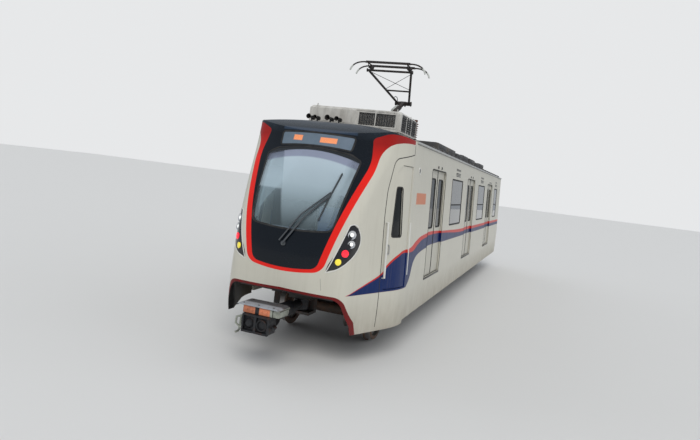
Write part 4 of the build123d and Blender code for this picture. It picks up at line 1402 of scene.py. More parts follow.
def make_doorway_trim():
    """Edging round each doorway and the grooved tread plate at its foot."""
    for side in SIDES:
        edging = Shape()
        treads = Shape()
        for x in DOOR_X:
            outline = rounded([(x - DOOR_HALF, FLOOR_Z), (x - DOOR_HALF, DOOR_TOP_Z), (x + DOOR_HALF, DOOR_TOP_Z),
                               (x + DOOR_HALF, FLOOR_Z)], [0, 0.07, 0.07, 0])
            waist = [Vector((x - DOOR_HALF, WAIST_Z)), Vector((x + DOOR_HALF, WAIST_Z))]
            outline = outline[:1] + waist[:1] + outline[1:-1] + waist[1:] + outline[-1:]
            edging.moulding(*side_path(outline, side), 0.016, 0.003, closed=False)
            treads.block((x - DOOR_HALF - 0.02, side * 1.327, FLOOR_Z - 0.034),
                         (x + DOOR_HALF + 0.02, side * 1.333, FLOOR_Z - 0.002), 0.002)
            for k in range(4):
                y = side * (1.262 + 0.016 * k)
                treads.block((x - DOOR_HALF + 0.005, y - 0.004, FLOOR_Z - 0.001),
                             (x + DOOR_HALF - 0.005, y + 0.004, FLOOR_Z + 0.004), 0.001)
        edging.done(SIDE_NAME[side] + "_doorway_edging", "seal", slot="bellows_rubber")
        treads.done(SIDE_NAME[side] + "_doorway_treads", "black_steel", slot="dark_steel")


def make_cab_door_trim():
    """Window seal and handle of each cab door."""
    for side in SIDES:
        body = "cab_door_" + SIDE_NAME[side]
        outline = denser(rounded(CAB_WINDOW, [0.04] * 4), 0.08)
        shape = Shape().moulding(*side_path(outline, side, CAB_DOOR_INSET), 0.020, 0.004)
        shape.done(body + "_seal", "seal", body, "bellows_rubber")
        grip = Shape()
        points, normals = side_path([(6.700, 1.720), (6.700, 1.600)], side, CAB_DOOR_INSET)
        knobs = [Vector(p) + n * 0.020 for p, n in zip(points, normals)]
        grip.bar([points[0], knobs[0], knobs[1], points[1]], 0.006)
        for point, normal in zip(points, normals):
            grip.turned(((0.014, -0.001), (0.014, 0.003), (0.010, 0.005), (0.0, 0.005)), point, normal, 16)
        grip.done(body + "_handle", "pole", body, "pole_steel")


class Maker:
    """What the groups of pieces share: each one runs its own functions."""
    makers = ()

    def execute(self, context):
        for make in self.makers:
            make()
        return {"FINISHED"}


class METRO_OT_seals(Maker, bpy.types.Operator):
    """Make the rubber round glass and doors, and the handles of the cab doors"""
    bl_idname = "metro.seals"
    bl_label = "Seals and door trim"
    makers = (make_screen_seals, make_window_seals, make_leaf_trim,
              make_doorway_trim, make_cab_door_trim, make_shut_lines)


class METRO_OT_lamps(Maker, bpy.types.Operator):
    """Make the rims, bowls and lenses of the headlights"""
    bl_idname = "metro.lamps"
    bl_label = "Headlights"
    makers = (make_lamp_rims, make_projectors)


class METRO_OT_fittings(Maker, bpy.types.Operator):
    """Make the wiper, the handrails and what is fixed on the sides"""
    bl_idname = "metro.fittings"
    bl_label = "Wiper, rails and side fittings"
    makers = (make_wiper, make_handrails, make_side_fittings)


# Running gear, as the source's solids have it
BOGIES = (("front", 4.600), ("rear", -4.900))
WHEELBASE = 1.900
AXLE_Z = 0.398
BEAM_Y = (0.840, 1.000)
UNDER_CASES = ((2.25, 2.95, -1.15, -0.20, 0.48), (1.35, 2.08, -1.15, 0.0, 0.44), (1.50, 2.95, 0.25, 1.15, 0.46),
               (0.10, 1.25, 0.15, 1.15, 0.52), (0.30, 1.15, -1.15, -0.25, 0.45), (-1.50, -0.10, 0.25, 1.15, 0.44),
               (-1.30, 0.10, -1.15, -0.30, 0.46), (-3.20, -1.70, -1.15, -0.15, 0.47),
               (-3.15, -1.70, 0.20, 1.15, 0.50))
DECK_UNDER_Z = 0.900
AXLE_COVER = ((0.108, 0.0), (0.108, 0.010), (0.100, 0.016), (0.066, 0.018), (0.060, 0.030), (0.048, 0.036),
              (0.0, 0.037))
DAMPER = ((0.016, 0.0), (0.030, 0.004), (0.030, 0.150), (0.024, 0.156), (0.024, 0.290), (0.014, 0.294),
          (0.014, 0.330))
DAMPER_EYE = ((0.024, -0.034), (0.024, 0.004), (0.012, 0.006), (0.0, 0.006))
BRAKE_PIPE = ((-1.20, 0.63), (-0.72, 0.63), (-0.46, 0.51), (0.46, 0.51), (0.72, 0.63), (1.20, 0.63))
BRAKE_PIPE_Y = 1.006

# Roof gear
CROWN_Z = 3.420
GUTTER_Z = 3.270
CASES = ((0.82, 1.88), (-0.38, 0.72), (-1.62, -0.72), (-2.58, -1.70), (-4.08, -3.02), (-5.22, -4.16),
         (-6.38, -5.32))
CASE_HALF = 0.690
CASE_TOP_Z = 3.610
HORNS = ((-0.66, 0.20, 0.042), (-0.56, 0.16, 0.034), (-0.33, 0.22, 0.046), (-0.18, 0.17, 0.038))
HORN_X = 5.840
HORN_Z = 3.515
HORN_COLLAR = ((0.030, -0.03), (0.034, -0.02), (0.034, 0.02), (0.030, 0.03))
ARRESTER_CABLE = ((3.90, 0.62, 3.80), (3.94, 0.58, 3.83), (4.00, 0.51, 3.76), (4.05, 0.45, 3.64), (4.08, 0.42, 3.58))
FEED_CABLE = ((3.34, -0.42, 3.56), (3.24, -0.49, 3.53), (3.05, -0.54, 3.45), (2.80, -0.56, 3.40), (2.10, -0.58, 3.39))

# Pantograph points, as x and z
PAN_PIVOT = (4.150, 3.640)
PAN_KNEE = (2.700, 4.280)
PAN_HEAD = (3.950, 4.690)
FRAME_X = (3.330, 4.420)
STRIP_X = (-0.180, 0.180)
STRIP_Z = (4.790, 4.830)
STRIP_HALF = 0.440
HORN_LINE = ((0.425, 0.016), (0.590, 0.022), (0.700, -0.035), (0.730, -0.150))


def roof_z(y):
    """Height of the roof's surface at a distance from the middle."""
    half = half_width(3.228) + 0.022
    rise = CROWN_Z - GUTTER_Z
    r = (half * half + rise * rise) / (2 * rise)
    return CROWN_Z - r + math.sqrt(r * r - y * y)


# Bolts and rivets, repeated over points by geometry nodes

def head_tree(name, material):
    """Node group that puts a domed hexagon or round head on every point, aimed along its attribute."""
    tree = bpy.data.node_groups.new(name, "GeometryNodeTree")
    face = tree.interface
    face.new_socket("Geometry", in_out="INPUT", socket_type="NodeSocketGeometry")
    for label, value in (("Radius", 0.010), ("Height", 0.006)):
        face.new_socket(label, in_out="INPUT", socket_type="NodeSocketFloat").default_value = value
    face.new_socket("Sides", in_out="INPUT", socket_type="NodeSocketInt").default_value = 6
    face.new_socket("Geometry", in_out="OUTPUT", socket_type="NodeSocketGeometry")

    def add(kind, inputs=None, settings=None):
        made = tree.nodes.new(kind)
        for key, value in (settings or {}).items():
            setattr(made, key, value)
        for key, value in (inputs or {}).items():
            if isinstance(value, bpy.types.NodeSocket):
                tree.links.new(value, made.inputs[key])
            else:
                made.inputs[key].default_value = value
        return made

    given = add("NodeGroupInput")
    rod = add("GeometryNodeMeshCylinder", {"Vertices": given.outputs["Sides"], "Radius": given.outputs["Radius"],
                                           "Depth": given.outputs["Height"]}, {"fill_type": "NGON"})
    dome_r = add("ShaderNodeMath", {0: given.outputs["Radius"], 1: 0.62}, {"operation": "MULTIPLY"})
    dome = add("GeometryNodeMeshCone", {"Vertices": given.outputs["Sides"], "Radius Top": 0.0,
                                        "Radius Bottom": dome_r.outputs[0], "Depth": given.outputs["Height"]})
    lift = add("ShaderNodeCombineXYZ", {"Z": given.outputs["Height"]})
    half = add("ShaderNodeVectorMath", {0: lift.outputs[0], 3: 0.5}, {"operation": "SCALE"})
    raised = add("GeometryNodeTransform", {"Geometry": dome.outputs[0], "Translation": half.outputs[0]})
    both = add("GeometryNodeJoinGeometry")
    tree.links.new(raised.outputs[0], both.inputs[0])
    tree.links.new(rod.outputs[0], both.inputs[0])
    aim = add("GeometryNodeInputNamedAttribute", {"Name": "aim"}, {"data_type": "FLOAT_VECTOR"})
    turn = add("FunctionNodeAlignRotationToVector", {"Vector": aim.outputs[0]}, {"axis": "Z"})
    placed = add("GeometryNodeInstanceOnPoints",
                 {"Points": given.outputs["Geometry"], "Instance": both.outputs[0], "Rotation": turn.outputs[0]})
    real = add("GeometryNodeRealizeInstances", {"Geometry": placed.outputs[0]})
    painted_heads = add("GeometryNodeSetMaterial", {"Geometry": real.outputs[0], "Material": material})
    ending = add("NodeGroupOutput")
    tree.links.new(painted_heads.outputs[0], ending.inputs[0])
    return tree


def make_heads(name, places, radius, height, sides, material, body="car"):
    """One piece of bolt heads or rivets at places, which are pairs of point and direction."""
    mesh = bpy.data.meshes.new(name)
    mesh.from_pydata([tuple(p) for p, _ in places], [], [])
    aim = mesh.attributes.new("aim", "FLOAT_VECTOR", "POINT")
    aim.data.foreach_set("vector", [c for _, n in places for c in n])
    seed = link_object(bpy.data.objects.new(name + "_points", mesh))
    tree = head_tree(name, finish(material))
    modifier = seed.modifiers.new("heads", "NODES")
    modifier.node_group = tree
    values = {"Radius": radius, "Height": height, "Sides": sides}
    for item in tree.interface.items_tree:
        if item.in_out == "INPUT" and item.name in values:
            modifier[item.identifier] = values[item.name]
    whole = bpy.data.meshes.new_from_object(seed.evaluated_get(bpy.context.evaluated_depsgraph_get()))
    bpy.data.objects.remove(seed)
    whole.name = name
    for face in whole.polygons:
        face.use_smooth = False
    return place_piece(whole, name, material, body)


def both_sides(places):
    """The same places on both sides of the car."""
    return places + [(Vector((p[0], -p[1], p[2])), Vector((n[0], -n[1], n[2]))) for p, n in places]


def circle_of(centre, axis, r, count, first=0.0):
    """Places on a circle about an axis, all aimed along it."""
    axis, side, other = axis_frame(axis)
    return [(Vector(centre) + offset, axis) for offset in round_about(side, other, r, count, first)]


def grid_of(points, normal):
    return [(Vector(p), Vector(normal)) for p in points]


def steps(start, end, count):
    return [start + (end - start) * k / (count - 1) for k in range(count)]


def make_bogie_bolts():
    for name, x in BOGIES:
        places = []
        for side in SIDES:
            axle_x = x + side * WHEELBASE / 2
            places += circle_of((axle_x, 1.003, AXLE_Z), LEFT, 0.085, 6, 0.4)
            places += grid_of([(axle_x + dx, 0.990, AXLE_Z + 0.05) for dx in (-0.17, 0.17)], LEFT)
            places += grid_of([(axle_x + dx, BEAM_Y[1], z) for dx in (-0.12, 0.12) for z in (0.61, 0.67)], LEFT)
        places += grid_of([(x + dx, BEAM_Y[1], 0.545) for dx in (-0.2, -0.1, 0.1, 0.2)], LEFT)
        make_heads(name + "_bogie_bolts", both_sides(places), 0.014, 0.010, 6, "iron", name + "_bogie")


def make_axle_covers():
    """Turned end covers of the axle boxes."""
    for name, x in BOGIES:
        shape = Shape()
        for side in SIDES:
            shape.turned(AXLE_COVER, (x + side * WHEELBASE / 2, 0.985, AXLE_Z), LEFT, 32)
        shape.mirrored().done(name + "_axle_covers", "bogie", name + "_bogie", "bogie_paint")


def make_dampers():
    """Upright damper beside each air spring, and the brake pipe along each beam."""
    for name, x in BOGIES:
        shape = Shape()
        for dx in (-0.36, 0.36):
            shape.turned(DAMPER, (x + dx, 1.060, 0.450), UP, 16)
            for z in (0.470, 0.765):
                shape.turned(DAMPER_EYE, (x + dx, 1.060, z), LEFT, 14)
            shape.block((x + dx - 0.03, 0.99, 0.45), (x + dx + 0.03, 1.060, 0.49), 0.006)
            shape.block((x + dx * 0.55, 0.90, 0.745), (x + dx * 1.08, 0.975, 0.785), 0.006)
            shape.block((x + dx - 0.03, 0.96, 0.745), (x + dx + 0.03, 1.060, 0.785), 0.006)
        shape.bar([(x + dx, BRAKE_PIPE_Y, z) for dx, z in BRAKE_PIPE], 0.011, 8)
        shape.mirrored().done(name + "_dampers", "black_steel", name + "_bogie", "dark_steel")


def make_under_details():
    """Lid bolts and latches of the underfloor cases, and the conduits beside them."""
    bolts = []
    latches = Shape()
    for x0, x1, y0, y1, z0 in UNDER_CASES:
        for x in steps(x0 + 0.10, x1 - 0.10, 5):
            bolts += grid_of([(x, y, z0 - 0.010) for y in (y0 + 0.10, y1 - 0.10)], (0, 0, -1))
        outer = y1 if y1 > 0.5 else y0
        out = 1 if outer > 0 else -1
        for x in (x0 + 0.15, x1 - 0.15):
            for z in (z0 + 0.12, 0.80):
                latches.block((x - 0.03, outer - 0.002, z - 0.02),
                              (x + 0.03, outer + out * 0.014, z + 0.02), 0.003)
        latches.block((x0 + 0.06, outer - out * 0.002, z0 + 0.05),
                      (x1 - 0.06, outer + out * 0.006, DECK_UNDER_Z - 0.05), 0.002)
    make_heads("underfloor_bolts", bolts, 0.010, 0.006, 6, "iron")
    latches.done("underfloor_lids", "dark_case", slot="dark_case")
    pipes = Shape()
    for y, z, r in ((0.055, 0.872, 0.020), (0.110, 0.876, 0.014), (-0.060, 0.874, 0.016), (-0.105, 0.878, 0.011)):
        pipes.bar([(-3.75, y, z), (-1.0, y, z), (1.0, y, z), (3.45, y, z)], r, 10)
    for x in steps(-3.5, 3.3, 9):
        pipes.block((x - 0.02, -0.14, 0.886), (x + 0.02, 0.14, 0.902), 0.003)
        pipes.block((x - 0.012, -0.14, 0.852), (x + 0.012, 0.14, 0.860), 0.002)
        for y in (-0.134, 0.134):
            pipes.bar([(x, y, 0.855), (x, y, 0.900)], 0.006, 6)
    pipes.done("underfloor_pipes", "black_steel", slot="dark_steel")
    beams = Shape()
    for x in steps(-3.40, 3.20, 12) + [6.0, -6.15, -7.45]:
        beams.block((x - 0.025, -1.16, 0.868), (x + 0.025, 1.16, 0.902), 0.004)
    beams.done("underfloor_beams", "underframe", slot="underframe")


class METRO_OT_running_gear(Maker, bpy.types.Operator):
    """Make the bolts, covers, dampers and pipes of the bogies and the underfloor"""
    bl_idname = "metro.running_gear"
    bl_label = "Running gear details"
    makers = (make_bogie_bolts, make_axle_covers, make_dampers, make_under_details)


# Roof

def make_horns():
    """Two pairs of air horns on posts in front of the air conditioner."""
    shape = Shape()
    for y, long, wide in HORNS:
        profile = ((0.012, -long * 0.5), (0.018, -long * 0.5 + 0.01), (0.013, -long * 0.4), (0.014, 0.0),
                   (wide * 0.6, long * 0.35), (wide, long * 0.5), (wide * 0.9, long * 0.5 - 0.004),
                   (wide * 0.45, long * 0.3), (0.0, 0.0))
        shape.turned(profile, (HORN_X, y, HORN_Z), (1, 0, 0.05), 20)
        shape.turned(HORN_COLLAR, (HORN_X - long * 0.5, y, HORN_Z), AHEAD, 16)
        shape.bar([(5.80, y, roof_z(y) - 0.01), (5.80, y, 3.545)], 0.014, 8)
    for y in (-0.61, -0.25):
        shape.block((5.74, y - 0.13, roof_z(abs(y)) - 0.005), (5.90, y + 0.13, roof_z(abs(y)) + 0.016), 0.004)
    shape.done("air_horns", "black_steel", slot="dark_steel")


def make_ac_details():
    """Seams, lifting eyes, louvres and rivets of the air conditioner, and the frame of its grille."""
    frame_shape = Shape()
    x = AC_X[1]
    outline = rectangle(0.028, 0.722, 3.475, 3.727, 0.012, 3)
    points = [(x, y, z) for y, z in outline]
    frame_shape.moulding(points, [AHEAD] * len(points), 0.026, 0.006)
    frame_shape.bar([(x + 0.002, 0.365, 3.482), (x + 0.002, 0.365, 3.720)], 0.010, 8)
    for edge_x in (AC_X[0] + 0.36, AC_X[0] + 0.70):
        line = [(edge_x, -AC_HALF, 3.42), (edge_x, -AC_HALF, 3.70), (edge_x, -AC_HALF + 0.05, AC_TOP_Z),
                (edge_x, AC_HALF - 0.05, AC_TOP_Z), (edge_x, AC_HALF, 3.70), (edge_x, AC_HALF, 3.42)]
        normals = [(0, -1, 0), (0, -0.9, 0.4), (0, -0.4, 0.9), (0, 0.4, 0.9), (0, 0.9, 0.4), (0, 1, 0)]
        frame_shape.moulding(line, normals, 0.028, 0.004, closed=False)
    for corner_x in (AC_X[0] + 0.08, AC_X[1] - 0.08):
        for y in (-0.70, 0.70):
            ring = [(corner_x + 0.022 * math.cos(a), y, AC_TOP_Z + 0.016 + 0.022 * math.sin(a))
                    for a in steps(0.0, 2 * math.pi * 11 / 12, 12)]
            frame_shape.bar(ring, 0.005, 8, closed=True)
    frame_shape.done("ac_frame", "white_case", slot="white_case")
    louvres = Shape()
    for side in SIDES:
        for x0 in (AC_X[0] + 0.05, AC_X[0] + 0.40, AC_X[0] + 0.74):
            for k in range(6):
                z = 3.49 + 0.034 * k
                tilt = Matrix.Rotation(side * math.radians(35), 3, "X")
                louvres.block((x0, side * AC_HALF - 0.010, z - 0.002),
                              (x0 + 0.27, side * AC_HALF + 0.016, z + 0.002), turn=tilt)
    louvres.done("ac_louvres", "grille", slot="dark_case")
    places = []
    for side in SIDES:
        for x1 in steps(AC_X[0] + 0.03, AC_X[1] - 0.03, 12):
            places += grid_of([(x1, side * AC_HALF, z) for z in (3.45, 3.695)], (0, side, 0))
    for y in steps(-0.76, -0.04, 9):
        places += grid_of([(AC_X[1], y, z) for z in (3.49, 3.71)], AHEAD)
    make_heads("ac_rivets", places, 0.006, 0.003, 8, "white_case")
    hatch = Shape()
    for y0, y1 in ((-0.74, -0.42), (-0.38, -0.04)):
        outline = rectangle(y0, y1, 3.50, 3.69, 0.02, 3)
        hatch.plate([(x - 0.002, y, z) for y, z in outline], 0.008, AHEAD)
    hatch.done("ac_hatches", "white_case", slot="white_case")


def make_roof_details():
    """Row of cases that stands for the plain blocks, with lids, handles, bolts, and cable ducts between them."""
    shape = Shape()
    places = []
    for k, (x0, x1) in enumerate(CASES):
        top = CASE_TOP_Z - (0.030 if k % 3 == 2 else 0.0)
        shape.block((x0, -CASE_HALF, roof_z(CASE_HALF) - 0.02), (x1, CASE_HALF, top), 0.016)
        outline = rectangle(x0 + 0.05, x1 - 0.05, -CASE_HALF + 0.06, CASE_HALF - 0.06, 0.03, 3)
        shape.plate([(x, y, top - 0.001) for x, y in outline], 0.010, UP)
        for y in (-0.45, 0.45):
            grip = [(x0 + 0.30, y, top + 0.008), (x0 + 0.30, y, top + 0.028), (x0 + 0.44, y, top + 0.028),
                    (x0 + 0.44, y, top + 0.008)]
            shape.bar(grip, 0.006, 8)
        for side in SIDES:
            for j in range(5):
                z = roof_z(CASE_HALF) + 0.05 + 0.026 * j
                shape.block((x0 + 0.12, side * CASE_HALF - 0.006, z),
                            (x1 - 0.12, side * CASE_HALF + 0.008, z + 0.010), 0.002)
        for x in steps(x0 + 0.09, x1 - 0.09, 6):
            places += grid_of([(x, y, top + 0.009) for y in (-0.59, 0.59)], UP)
    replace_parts(shape.done("roof_case_row", "dark_case", slot="dark_case"), "roof_cases")
    make_heads("roof_case_bolts", places, 0.009, 0.005, 6, "iron")
    ducts = Shape()
    for side in SIDES:
        for y, r in ((1.085, 0.022), (1.140, 0.014)):
            z = roof_z(y) + r * 0.8
            ducts.bar([(-7.55, side * y, z), (-3.0, side * y, z), (1.0, side * y, z), (4.35, side * y, z)], r, 10)
        for x in steps(-7.4, 4.2, 24):
            z = roof_z(1.11)
            ducts.block((x - 0.018, side * 1.11 - 0.055, z - 0.008),
                        (x + 0.018, side * 1.11 + 0.055, z + 0.034), 0.004)
    ducts.done("roof_ducts", "dark_case", slot="dark_case")


def make_arrester():
    """Ribbed surge arrester and the cable from the pantograph's frame to the roof."""
    shape = Shape()
    base = (3.90, 0.62, roof_z(0.62) - 0.01)
    profile = [(0.060, 0.0), (0.060, 0.03), (0.030, 0.035)]
    for k in range(9):
        low = 0.045 + 0.040 * k
        profile += [(0.030, low), (0.056, low + 0.012), (0.056, low + 0.018), (0.030, low + 0.026)]
    profile += [(0.026, 0.420), (0.034, 0.425), (0.034, 0.455), (0.012, 0.460), (0.0, 0.460)]
    shape.turned(profile, base, UP, 24)
    shape.done("surge_arrester", "porcelain", slot="dark_steel")
    cable = Shape()
    cable.bar(ARRESTER_CABLE, 0.009, 8)
    cable.bar(FEED_CABLE, 0.016, 8)
    cable.done("roof_cables", "seal", slot="bellows_rubber")


class METRO_OT_roof(Maker, bpy.types.Operator):
    """Make the horns, ducts, lids and rivets on the roof"""
    bl_idname = "metro.roof"
    bl_label = "Roof details"
    makers = (make_horns, make_ac_details, make_roof_details, make_arrester)


# Coupler; profiles are pairs of radius and distance along the axis

COUPLER_PIVOT = (6.900, 0.0, 0.700)
HEAD_Z = (0.530, 0.775)
HEAD_MIDDLE_Z = (HEAD_Z[0] + HEAD_Z[1]) / 2
HEAD_FACE_X = 8.250
FLANGE_PLACE = (7.880, 0.0, 0.680)
COUPLER_EYE = ((0.0, -0.075), (0.110, -0.075), (0.110, 0.075), (0.0, 0.075))
DRAWBAR = ((0.0, 0.0), (0.072, 0.0), (0.072, 0.36), (0.102, 0.37), (0.102, 0.78), (0.072, 0.79), (0.072, 1.06),
           (0.0, 1.06))
FLANGE = ((0.0, 0.0), (0.150, 0.0), (0.150, 0.030), (0.095, 0.036), (0.0, 0.036))
CONE = ((0.0, 0.0), (0.068, 0.0), (0.062, 0.014), (0.036, 0.038), (0.0, 0.040))
CUP = ((0.060, 0.0), (0.074, 0.0), (0.072, 0.034), (0.060, 0.036), (0.052, 0.002))
CONTACT = ((0.0, 0.0), (0.014, 0.0), (0.012, 0.010), (0.0, 0.011))
PLUG = ((0.0, 0.0), (0.046, 0.0), (0.046, 0.090), (0.030, 0.096), (0.0, 0.096))
COVER_EDGE = ((-0.300, 0.848), (-0.250, 0.868), (0.250, 0.868), (0.300, 0.848), (0.306, 0.862), (0.255, 0.888),
              (-0.255, 0.888), (-0.306, 0.862))
LEVER = ((8.090, -0.180, 0.690), (8.100, -0.285, 0.690), (8.110, -0.300, 0.660), (8.120, -0.300, 0.510),
         (8.150, -0.300, 0.485), (8.215, -0.300, 0.485))
LOOP = ((8.235, -0.180, 0.700), (8.262, -0.225, 0.722), (8.270, -0.275, 0.700), (8.262, -0.285, 0.620),
        (8.240, -0.240, 0.575), (8.230, -0.180, 0.580))
SIDE_BAR = ((8.120, 0.185, 0.640), (8.150, 0.225, 0.630), (8.210, 0.235, 0.625), (8.255, 0.215, 0.640))


def add_coupler_head(shape):
    """Eye, drawbar with its buffer and flange, and the head with ribs, cone and cup."""
    low, high = HEAD_Z
    shape.turned(COUPLER_EYE, COUPLER_PIVOT, UP, 32)
    shape.turned(DRAWBAR, COUPLER_PIVOT, AHEAD, 32)
    shape.turned(FLANGE, FLANGE_PLACE, AHEAD, 28)
    shape.block((7.910, -0.110, low + 0.03), (8.070, 0.110, high), 0.020)
    shape.block((8.050, -0.190, low), (8.262, 0.190, high), 0.036)
    for y0, y1, z0, z1 in ((-0.186, 0.186, high - 0.030, high - 0.004), (-0.186, 0.186, low + 0.004, low + 0.032),
                           (0.164, 0.188, low + 0.02, high - 0.02), (-0.188, -0.164, low + 0.02, high - 0.02),
                           (-0.020, 0.016, low + 0.02, high - 0.02)):
        shape.block((HEAD_FACE_X, y0, z0), (8.296, y1, z1), 0.005)
    shape.turned(CONE, (8.258, -0.093, HEAD_MIDDLE_Z), AHEAD, 28)
    shape.turned(CUP, (8.258, 0.090, HEAD_MIDDLE_Z), AHEAD, 28)


def add_coupler_fittings(shape):
    """Cable box with contacts and cover plate on the head, and the lever, loop and bar beside it."""
    shape.block((7.985, -0.205, 0.770), (8.256, 0.205, 0.868), 0.006)
    shape.block((8.020, 0.208, 0.772), (HEAD_FACE_X, 0.300, 0.866), 0.012)
    for y in (-0.150, -0.075, 0.060, 0.135):
        shape.turned(CONTACT, (8.254, y, 0.820), AHEAD, 6)
    shape.plate([(7.950, y, z) for y, z in COVER_EDGE], 0.325, AHEAD)
    shape.turned(PLUG, (8.010, 0.205, 0.815), LEFT, 20)
    for line, r in ((LEVER, 0.014), (LOOP, 0.013), (SIDE_BAR, 0.016)):
        shape.bar(line, r, 10)


def make_coupler():
    """Coupler that stands for the plain one, and its bolts."""
    shape = Shape()
    add_coupler_head(shape)
    add_coupler_fittings(shape)
    piece = shape.done("coupler_head", "coupler", "front_coupler", "cast_iron")
    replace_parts(piece, "front_coupler")
    places = circle_of((7.915, 0.0, 0.680), AHEAD, 0.126, 8, 0.2)
    places += grid_of([(x, y, 0.888) for x in (7.990, 8.235) for y in (-0.21, 0.0, 0.21)], UP)
    rows = (HEAD_Z[0] + 0.018, HEAD_Z[1] - 0.018)
    places += grid_of([(8.286, y, z) for y in (-0.150, 0.150) for z in rows], AHEAD)
    make_heads("coupler_bolts", places, 0.011, 0.009, 6, "iron", "front_coupler")


class METRO_OT_coupler(Maker, bpy.types.Operator):
    """Make the detailed front coupler"""
    bl_idname = "metro.coupler"
    bl_label = "Front coupler"
    makers = (make_coupler,)


# Pantograph

def curved(points, count=10):
    """Points on one smooth curve that starts and ends at the first and last point."""
    made = []
    points = [Vector(p) for p in points]
    for k in range(count + 1):
        row = points
        while len(row) > 1:
            row = [a.lerp(b, k / count) for a, b in zip(row, row[1:])]
        made.append(row[0])
    return made


def make_pantograph_head():
    """Collector head that stands for the plain one: bars with carbon strips, smooth horns and spring boxes."""
    low, high = STRIP_Z
    bars = Shape()
    strips = Shape()
    tips = Shape()
    for dx in STRIP_X:
        x = PAN_HEAD[0] + dx
        bars.block((x - 0.024, -STRIP_HALF, low), (x + 0.024, STRIP_HALF, low + 0.022), 0.004)
        strips.block((x - 0.020, -STRIP_HALF + 0.01, low + 0.020),
                     (x + 0.020, STRIP_HALF - 0.01, high - 0.001), 0.006)
        for side in SIDES:
            horn = curved([(x, side * y, low + rise) for y, rise in HORN_LINE], 12)
            bars.bar(horn[:9], 0.014, 8)
            tips.bar(horn[8:], 0.016, 8)
    for side in SIDES:
        y = side * 0.380
        bars.bar([(PAN_HEAD[0] + STRIP_X[0], y, low), (PAN_HEAD[0] + STRIP_X[1], y, low)], 0.013, 8)
        bars.block((PAN_HEAD[0] - 0.024, y - 0.011, PAN_HEAD[1] + 0.025),
                   (PAN_HEAD[0] + 0.024, y + 0.011, low + 0.002), 0.003)
        bars.block((PAN_HEAD[0] - 0.062, y - 0.036, PAN_HEAD[1] + 0.030),
                   (PAN_HEAD[0] + 0.062, y + 0.036, low - 0.018), 0.012)
        for dx in STRIP_X:
            x = PAN_HEAD[0] + dx
            bars.bar([(x, y, low), (x + (0.03 if dx < 0 else -0.03), y, low - 0.055),
                      (PAN_HEAD[0] + (-0.055 if dx < 0 else 0.055), y, low - 0.040)], 0.007, 6)
    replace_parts(bars.done("head_bars", "arm", "pantograph_head", "dark_steel"), "pantograph_head")
    strips.done("head_carbon_strips", "strip", "pantograph_head", "dark_steel")
    tips.done("head_horn_tips", "sleeve", "pantograph_head", "white_case")


def along(a, b, share, y=0.0):
    """Point between two pantograph points, at a distance from the middle."""
    return Vector((a[0] + (b[0] - a[0]) * share, y, a[1] + (b[1] - a[1]) * share))


def make_arm_details():
    """Brackets, raising cylinder, guide rod and cables of the two arms."""
    lower = Shape()
    for share in (0.04, 0.97):
        spot = along(PAN_PIVOT, PAN_KNEE, share)
        for side in SIDES:
            lower.turned(((0.0, 0.0), (0.052, 0.0), (0.052, 0.012), (0.030, 0.016), (0.0, 0.016)),
                         spot + Vector((0, side * 0.048, 0)), (0, side, 0), 20)
    lift = Vector((-0.016, 0.0, -0.060))
    rod = ((0.10, 0.5), (0.14, 1.0), (0.90, 1.0), (0.94, 0.4))
    lower.bar([along(PAN_PIVOT, PAN_KNEE, share, 0.0) + lift * drop for share, drop in rod], 0.011, 8)
    for share in (0.30, 0.55, 0.80):
        lower.bar([along(PAN_PIVOT, PAN_KNEE, share), along(PAN_PIVOT, PAN_KNEE, share) + lift], 0.008, 6)
    lower.done("lower_arm_rod", "arm", "pantograph_lower_arm", "dark_steel")
    cylinder = Shape()
    start = along(PAN_PIVOT, PAN_KNEE, 0.62, -0.075)
    run = (along(PAN_PIVOT, PAN_KNEE, 0.95) - along(PAN_PIVOT, PAN_KNEE, 0.62)).normalized()
    profile = ((0.0, 0.0), (0.012, 0.0), (0.012, 0.06), (0.030, 0.064), (0.030, 0.30), (0.020, 0.31),
               (0.014, 0.42), (0.0, 0.42))
    cylinder.turned(profile, start, run, 20)
    cylinder.bar([start + run * 0.02, along(PAN_PIVOT, PAN_KNEE, 0.635, -0.02)], 0.010, 8)
    cylinder.bar([start + run * 0.40, along(PAN_PIVOT, PAN_KNEE, 0.878, -0.02)], 0.010, 8)
    cylinder.done("arm_cylinder", "sleeve", "pantograph_lower_arm", "white_case")
    upper = Shape()
    knee = Vector((PAN_KNEE[0], 0.0, PAN_KNEE[1]))

    def tube(share, side):
        y = side * (0.120 + (0.420 - 0.120) * share)
        return along(PAN_KNEE, PAN_HEAD, share, y)

    raised = Vector((-0.012, 0.0, 0.016))
    upper.bar([tube(0.44, 1) + raised, tube(0.93, -1) + raised], 0.005, 6)
    upper.bar([tube(0.44, -1) + raised, tube(0.93, 1) + raised], 0.005, 6)
    for side in SIDES:
        upper.turned(((0.0, 0.0), (0.050, 0.0), (0.050, 0.014), (0.026, 0.020), (0.0, 0.020)),
                     knee + Vector((0, side * 0.158, 0)), (0, side, 0), 20)
        upper.turned(((0.0, 0.0), (0.034, 0.0), (0.034, 0.012), (0.0, 0.016)),
                     Vector((PAN_HEAD[0], side * 0.440, PAN_HEAD[1])), (0, side, 0), 16)
    upper.done("upper_arm_braces", "arm", "pantograph_upper_arm", "dark_steel")
    cables = Shape()
    for side in SIDES:
        cables.bar(curved([tube(0.02, side) + Vector((0, 0, 0.03)), tube(0.03, side) + Vector((-0.07, 0, 0.10)),
                           tube(0.12, side) + Vector((0, 0, 0.12)), tube(0.15, side)], 10), 0.007, 6)
    cables.done("upper_arm_cables", "seal", "pantograph_upper_arm", "bellows_rubber")


